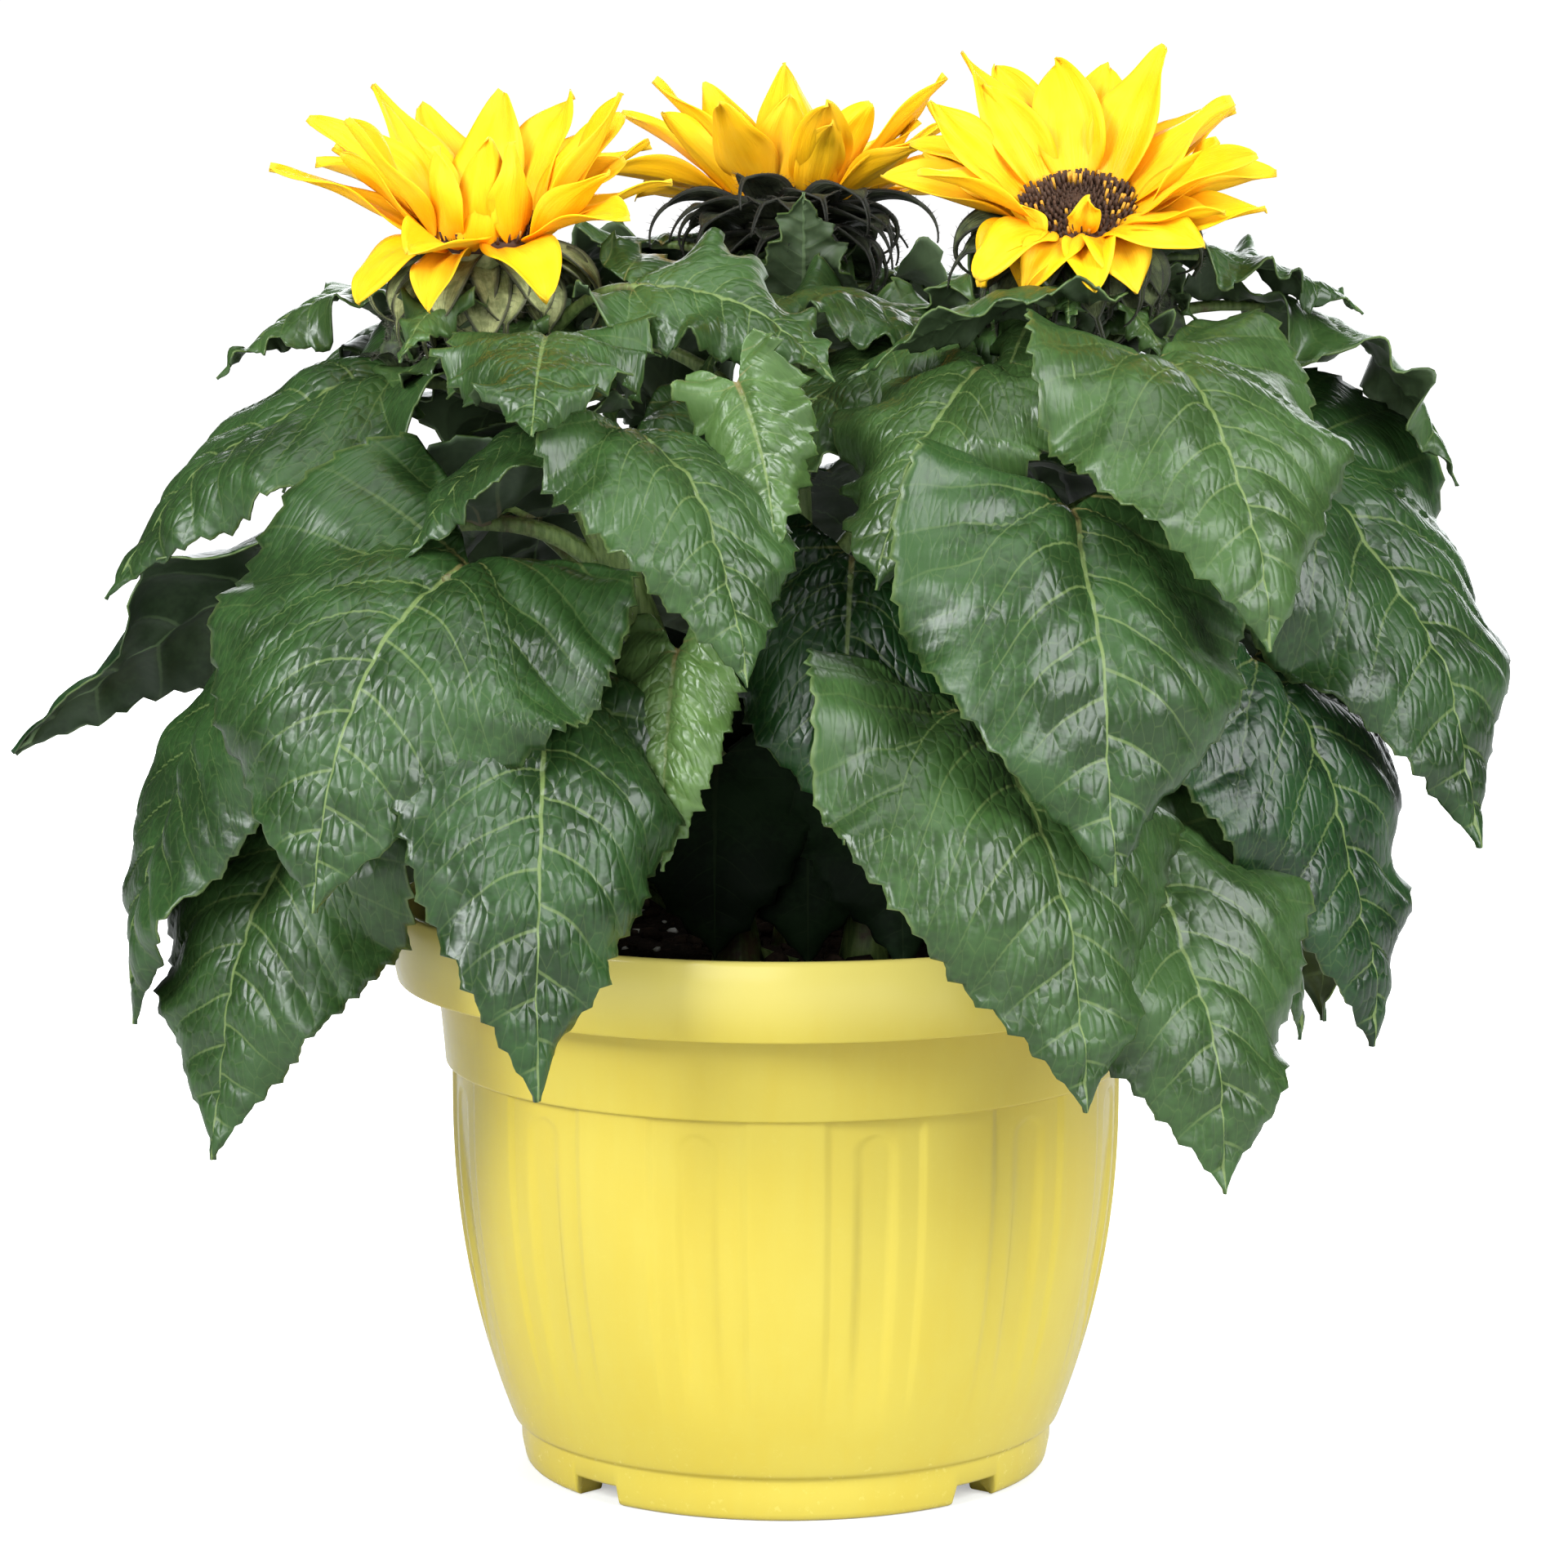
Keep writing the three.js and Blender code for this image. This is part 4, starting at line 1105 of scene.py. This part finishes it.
def floret_places(matrix):
    """Where the closed and the open florets stand, in the even spiral of a sunflower."""
    closed, opened = [], []
    for k in range(FLORETS):
        r = DISC_RADIUS * math.sqrt((k + 0.5) / FLORETS)
        z = 4.2 - 3.6 * (r / DISC_RADIUS) ** 2.5 - 1.2 * math.exp(-((r / 4) ** 2))
        is_open = 0.45 < r / DISC_RADIUS < 0.95
        tall = (2.6 if is_open else 1.7) + 0.5 * scatter(k, 3)
        foot = Vector(around(GOLDEN_TURN * k, r, z))
        way = Vector((foot.x * 0.03, foot.y * 0.03, 1)).normalized()
        turn = way.to_track_quat("Z", "X").to_matrix().to_4x4()
        spot = matrix @ Matrix.Translation(foot + way * tall / 2) @ turn
        spot = Matrix.Scale(MM, 4) @ spot @ Matrix.Diagonal((1, 1, tall, 1))
        (opened if is_open else closed).append(spot)
    return closed, opened


def lay_bracts(bm, hairs, head, matrix, seed):
    """Two rows of bracts that curl out from the cup, and a third that hangs down it."""
    for k in range(3 * BRACTS):
        ring, odd = k // BRACTS, k % 2
        a = 360 * (k + 0.5 + 0.5 * ring) / BRACTS + 6 * scatter(k, 6)
        level = (-4.5, -2.6, -9.5)[ring] if odd or ring == 2 else -6
        start = around(a, (12.5, 12.5, 9.0)[ring], level)
        first = head["bract"] + 52 + 14 * scatter(k, 7) + (0, 14, -34)[ring]
        first -= 26 * (ring < 2 and frontness(a) > 0.5)
        curl = head["bract"] - 100 - 60 * scatter(k, seed + 3) - (30 if odd else 0)
        long = (30 if odd else 26) + 4 * scatter(k, 8)
        line = rib(start, a, 0, min(first, 30), max(curl, -190), long, late=1.5)
        lay_bract(bm, hairs, line, matrix, k, seed, head["base"] * (1, 0.85, 0.8)[ring], 1.8)


cup_outline = eased_outline(
    [(0, -14.5, 0), (4.4, -14.0, 1), (9.5, -9.5, 2), (14.4, -4.5, 2), (14.7, -0.8, 1)]
    + [(14.0, 1.2, 1), (9, 3.4, 1), (0, 3.8, 0)]
)
for number, (name, head) in enumerate(HEADS.items()):
    matrix = head_matrix(head)
    seed = 11 * number

    bm = bmesh.new()
    lay_rays(bm, name, head, matrix, seed)
    rays = finished_piece(bm, "rays_" + name, ray_yellow)
    thicken(rays, 0.0003, 0)
    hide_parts("flower_" + name)
    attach(rays, "root")

    # disc: a few of the open florets are bright with pollen
    closed, opened = floret_places(matrix)
    bright = np.array([int(scatter(k, 8) > 0.70) for k in range(len(opened))])
    for title, shape, places, kinds in (
        ("open_florets_", OPEN_FLORET, opened, bright),
        ("closed_florets_", CLOSED_FLORET, closed, None),
    ):
        disc = strewn(title + name, shape, places, floret_dark, pollen, kinds=kinds)
        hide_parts("flower_" + name)

    # cup under the disc, joined to the stem, dark where the rays stand on it
    bm = turned(cup_outline, 56)
    for face in bm.faces:
        face.material_index = int(face.calc_center_median().z > -1.5 * MM)
    for vertex in bm.verts:
        point = vertex.co / MM
        lumps = 0.5 * noise.noise(point * 0.35 + Vector((seed, 0, 0)))
        vertex.co = (matrix @ (point * (1 + lumps / 15))) * MM
    # the cup and bracts take their head's painted light or shade
    bract_green = bract_finish(name, *BRACT_LIT_AND_SHADED_TONES[name])
    bm.loops.layers.uv.new("petal")
    cup = finished_piece(bm, "cup_" + name, bract_green, floret_dark)
    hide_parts("flower_" + name)
    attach(cup, "root")

    bm, hairs = bmesh.new(), []
    lay_bracts(bm, hairs, head, matrix, seed)
    bracts = finished_piece(bm, "bracts_" + name, bract_green)
    thicken(bracts, 0.0005, 0)
    strewn("bract_hairs_" + name, HAIR, hairs, bract_hair)
    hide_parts("flower_" + name)
    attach(bracts, "root")

# ---------------------------------------------------------------- young leaves
# Small, narrow young leaves sit straight on the top of each stem, close under the bracts. They
# are soft and waved, with coarse teeth, in the same finish as the large leaves.
YOUNG, YOUNG_LONG, YOUNG_WIDTH = 9, 40, 0.46
for number, name in enumerate(HEADS):
    bm = bmesh.new()
    top = HEADS[name]["at"][2]
    for k in range(YOUNG):
        seed, layer = 100 + 20 * number + k, k % 3
        heading = 360 * k / YOUNG + 17 * number + 9 * scatter(k, seed)
        joint = stem_point(name, top - 16 - 4 * layer) + around(heading, STEM_RADIUS[1] - 1, 0)
        long = YOUNG_LONG + 8 * scatter(k, number + 41)
        p0, p1 = 30 - 14 * layer + 8 * scatter(k, 43), -66 + 24 * scatter(k, 44)
        row = (name, 0, 0, 0, long, p0, p1, 0, 22 * scatter(k, 45), YOUNG_WIDTH)
        line = rib(joint, heading, 0, p0, p1, long)
        tone = 0.45 + 0.12 * scatter(k, 46)
        lay_sheet(bm, 60, 14, leaf_places(row, line, seed, tone, wavy=3.6))
    young = finished_piece(bm, "young_leaves_" + name, leaf_green, leaf_under)
    thicken(young, SKIN, -1, under=1)
    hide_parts("stem_" + name)
    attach(young, "root")

# ---------------------------------------------------------------- side buds
# Two closed side buds stand on short stalks beside the outer flowers. Each is a small cup
# wrapped in layers of narrow dark bracts that curl inwards at the heart and outwards round it.
BUDS = {"right": {"at": (92, -14, 290), "size": 11}, "left": {"at": (-95, -22, 284), "size": 8}}
BUD_BRACTS = 22
bud_green = bract_finish("bud", (0.014, 0.020, 0.010, 1), (0.060, 0.085, 0.034, 1))
for number, (name, bud) in enumerate(BUDS.items()):
    centre, size = np.array(bud["at"], float), bud["size"]
    seed = 50 + 7 * number
    bm, hairs = bmesh.new(), []
    bm.loops.layers.uv.new("petal")
    middle = Vector(centre) * MM
    ball = bmesh.ops.create_icosphere(
        bm, subdivisions=3, radius=size * 0.6 * MM, matrix=Matrix.Translation(middle)
    )
    for vertex in ball["verts"]:
        vertex.co += (vertex.co - middle) * 0.16 * noise.noise(vertex.co * 400)
    foot = stem_point(name, centre[2] - 16)
    knee = foot + (centre - foot) * 0.6 - (0, 0, 5)
    w = np.linspace(0, 1, 10)[:, None]
    curve = foot * (1 - w) ** 2 + 2 * knee * w * (1 - w) + centre * w * w
    lay_tube(bm, curve, lambda share: 2.0 + 0.6 * share, 12, 5, 0.06, seed)
    for k in range(BUD_BRACTS):
        layer = k // 6
        a = 60 * k + 21 * layer + 10 * scatter(k, 9)
        start = centre + around(a, size * (0.42 - 0.07 * layer), size * (-0.35 + 0.2 * layer))
        if layer == 0:
            line = rib(start, a, 0, 62 - 8 * (k % 3), -30 - 30 * (k % 2), size * 1.35)
        else:
            p0, p1 = 70 - 4 * layer + 8 * scatter(k, 4), 120 + 20 * scatter(k, 5)
            line = rib(start, a, 0, p0, p1, size * 1.15)
        base = size * (0.24 if layer else 0.30)
        lay_bract(bm, hairs, line, Matrix.Identity(4), k, seed, base, 0.8)
    buds = finished_piece(bm, "wrapped_buds_" + name, bud_green)
    strewn("bud_hairs_" + name, HAIR, hairs, bract_hair)
    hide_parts("buds_" + name)
    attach(buds, "root")

# ---------------------------------------------------------------- studio
# A plain pale floor that runs out into a white backdrop, soft panels of light at both sides,
# in front, above and behind, and a camera with a long lens a little above the plant.
FLOOR_SIZE = 200
# how white the floor looks under the plant and away from it, and how far out that changes
FLOOR_NEAR, FLOOR_AWAY, FLOOR_FADE = 0.40, 1.0, (0.08, 0.45)
AMBIENT = 0.08
bm = bmesh.new()
bmesh.ops.create_grid(bm, x_segments=1, y_segments=1, size=FLOOR_SIZE)
floor_white, tree, shader, place = new_finish("floor_white", roughness=0.8, specular=0.1)
wash = add_node(tree, "TexNoise", Vector=place, Scale=2)
paint(shader, tint(wash, (0.56, 0.56, 0.56, 1), (0.60, 0.60, 0.60, 1)))
away = tree.nodes.new("ShaderNodeVectorMath")
away.operation = "LENGTH"
feed(away.inputs[0], place)
shader.inputs["Emission Color"].default_value = (1, 1, 1, 1)
fade = ease(away.outputs["Value"], *FLOOR_FADE, FLOOR_NEAR, FLOOR_AWAY)
seen = tree.nodes.new("ShaderNodeLightPath").outputs["Is Camera Ray"]
feed(shader.inputs["Emission Strength"], times(fade, seen))
floor_white.cycles.emission_sampling = "NONE"
floor = finished_piece(bm, "studio_floor", floor_white)


def soft_panel(name, place, aim, wide, high, power):
    """A soft panel of slightly cool light, in watts, that the camera doesn't see."""
    panel = bpy.data.lights.new(name, "AREA")
    panel.shape, panel.size, panel.size_y, panel.energy = "RECTANGLE", wide, high, power
    panel.color = (0.95, 0.985, 1.0)
    lamp = bpy.data.objects.new(name, panel)
    lamp.location = place
    lamp.rotation_euler = (Vector(aim) - Vector(place)).to_track_quat("-Z", "Y").to_euler()
    lamp.visible_camera = False
    bpy.context.scene.collection.objects.link(lamp)


soft_panel("panel_left", (-1.25, -1.35, 1.25), (0, 0, 0.2), 0.9, 0.9, 66)
soft_panel("panel_right", (1.35, -1.15, 1.15), (0, 0, 0.2), 1.3, 1.3, 66)
soft_panel("panel_front", (-0.45, -1.90, 0.60), (0, 0, 0.15), 0.9, 0.9, 13)
soft_panel("panel_top", (0.0, -0.3, 2.0), (0, 0, 0.2), 1.4, 1.0, 16)
soft_panel("panel_back", (0.3, 1.75, 0.75), (0, 0, 0.2), 1.8, 1.2, 36)

world = bpy.data.worlds.new("studio")
world.use_nodes = True
bpy.context.scene.world = world
tree = world.node_tree
ambient = tree.nodes["Background"]
ambient.inputs["Color"].default_value = (1, 1, 1, 1)
ambient.inputs["Strength"].default_value = AMBIENT
backdrop = tree.nodes.new("ShaderNodeBackground")
backdrop.inputs["Color"].default_value = (1, 1, 1, 1)
chosen = tree.nodes.new("ShaderNodeMixShader")
seen = tree.nodes.new("ShaderNodeLightPath").outputs["Is Camera Ray"]
for socket, source in zip(chosen.inputs, (seen, ambient.outputs[0], backdrop.outputs[0])):
    tree.links.new(source, socket)
tree.links.new(chosen.outputs[0], tree.nodes["World Output"].inputs[0])
bpy.context.scene.view_settings.view_transform = "Standard"

lens = bpy.data.cameras.new("camera")
lens.lens, lens.sensor_width = 128.5, 36
camera = bpy.data.objects.new("camera", lens)
camera.location = (-0.00045, -1.400, 0.373)
camera.rotation_euler = (math.radians(90 - 8.11), 0, 0)
bpy.context.scene.collection.objects.link(camera)
bpy.context.scene.camera = camera
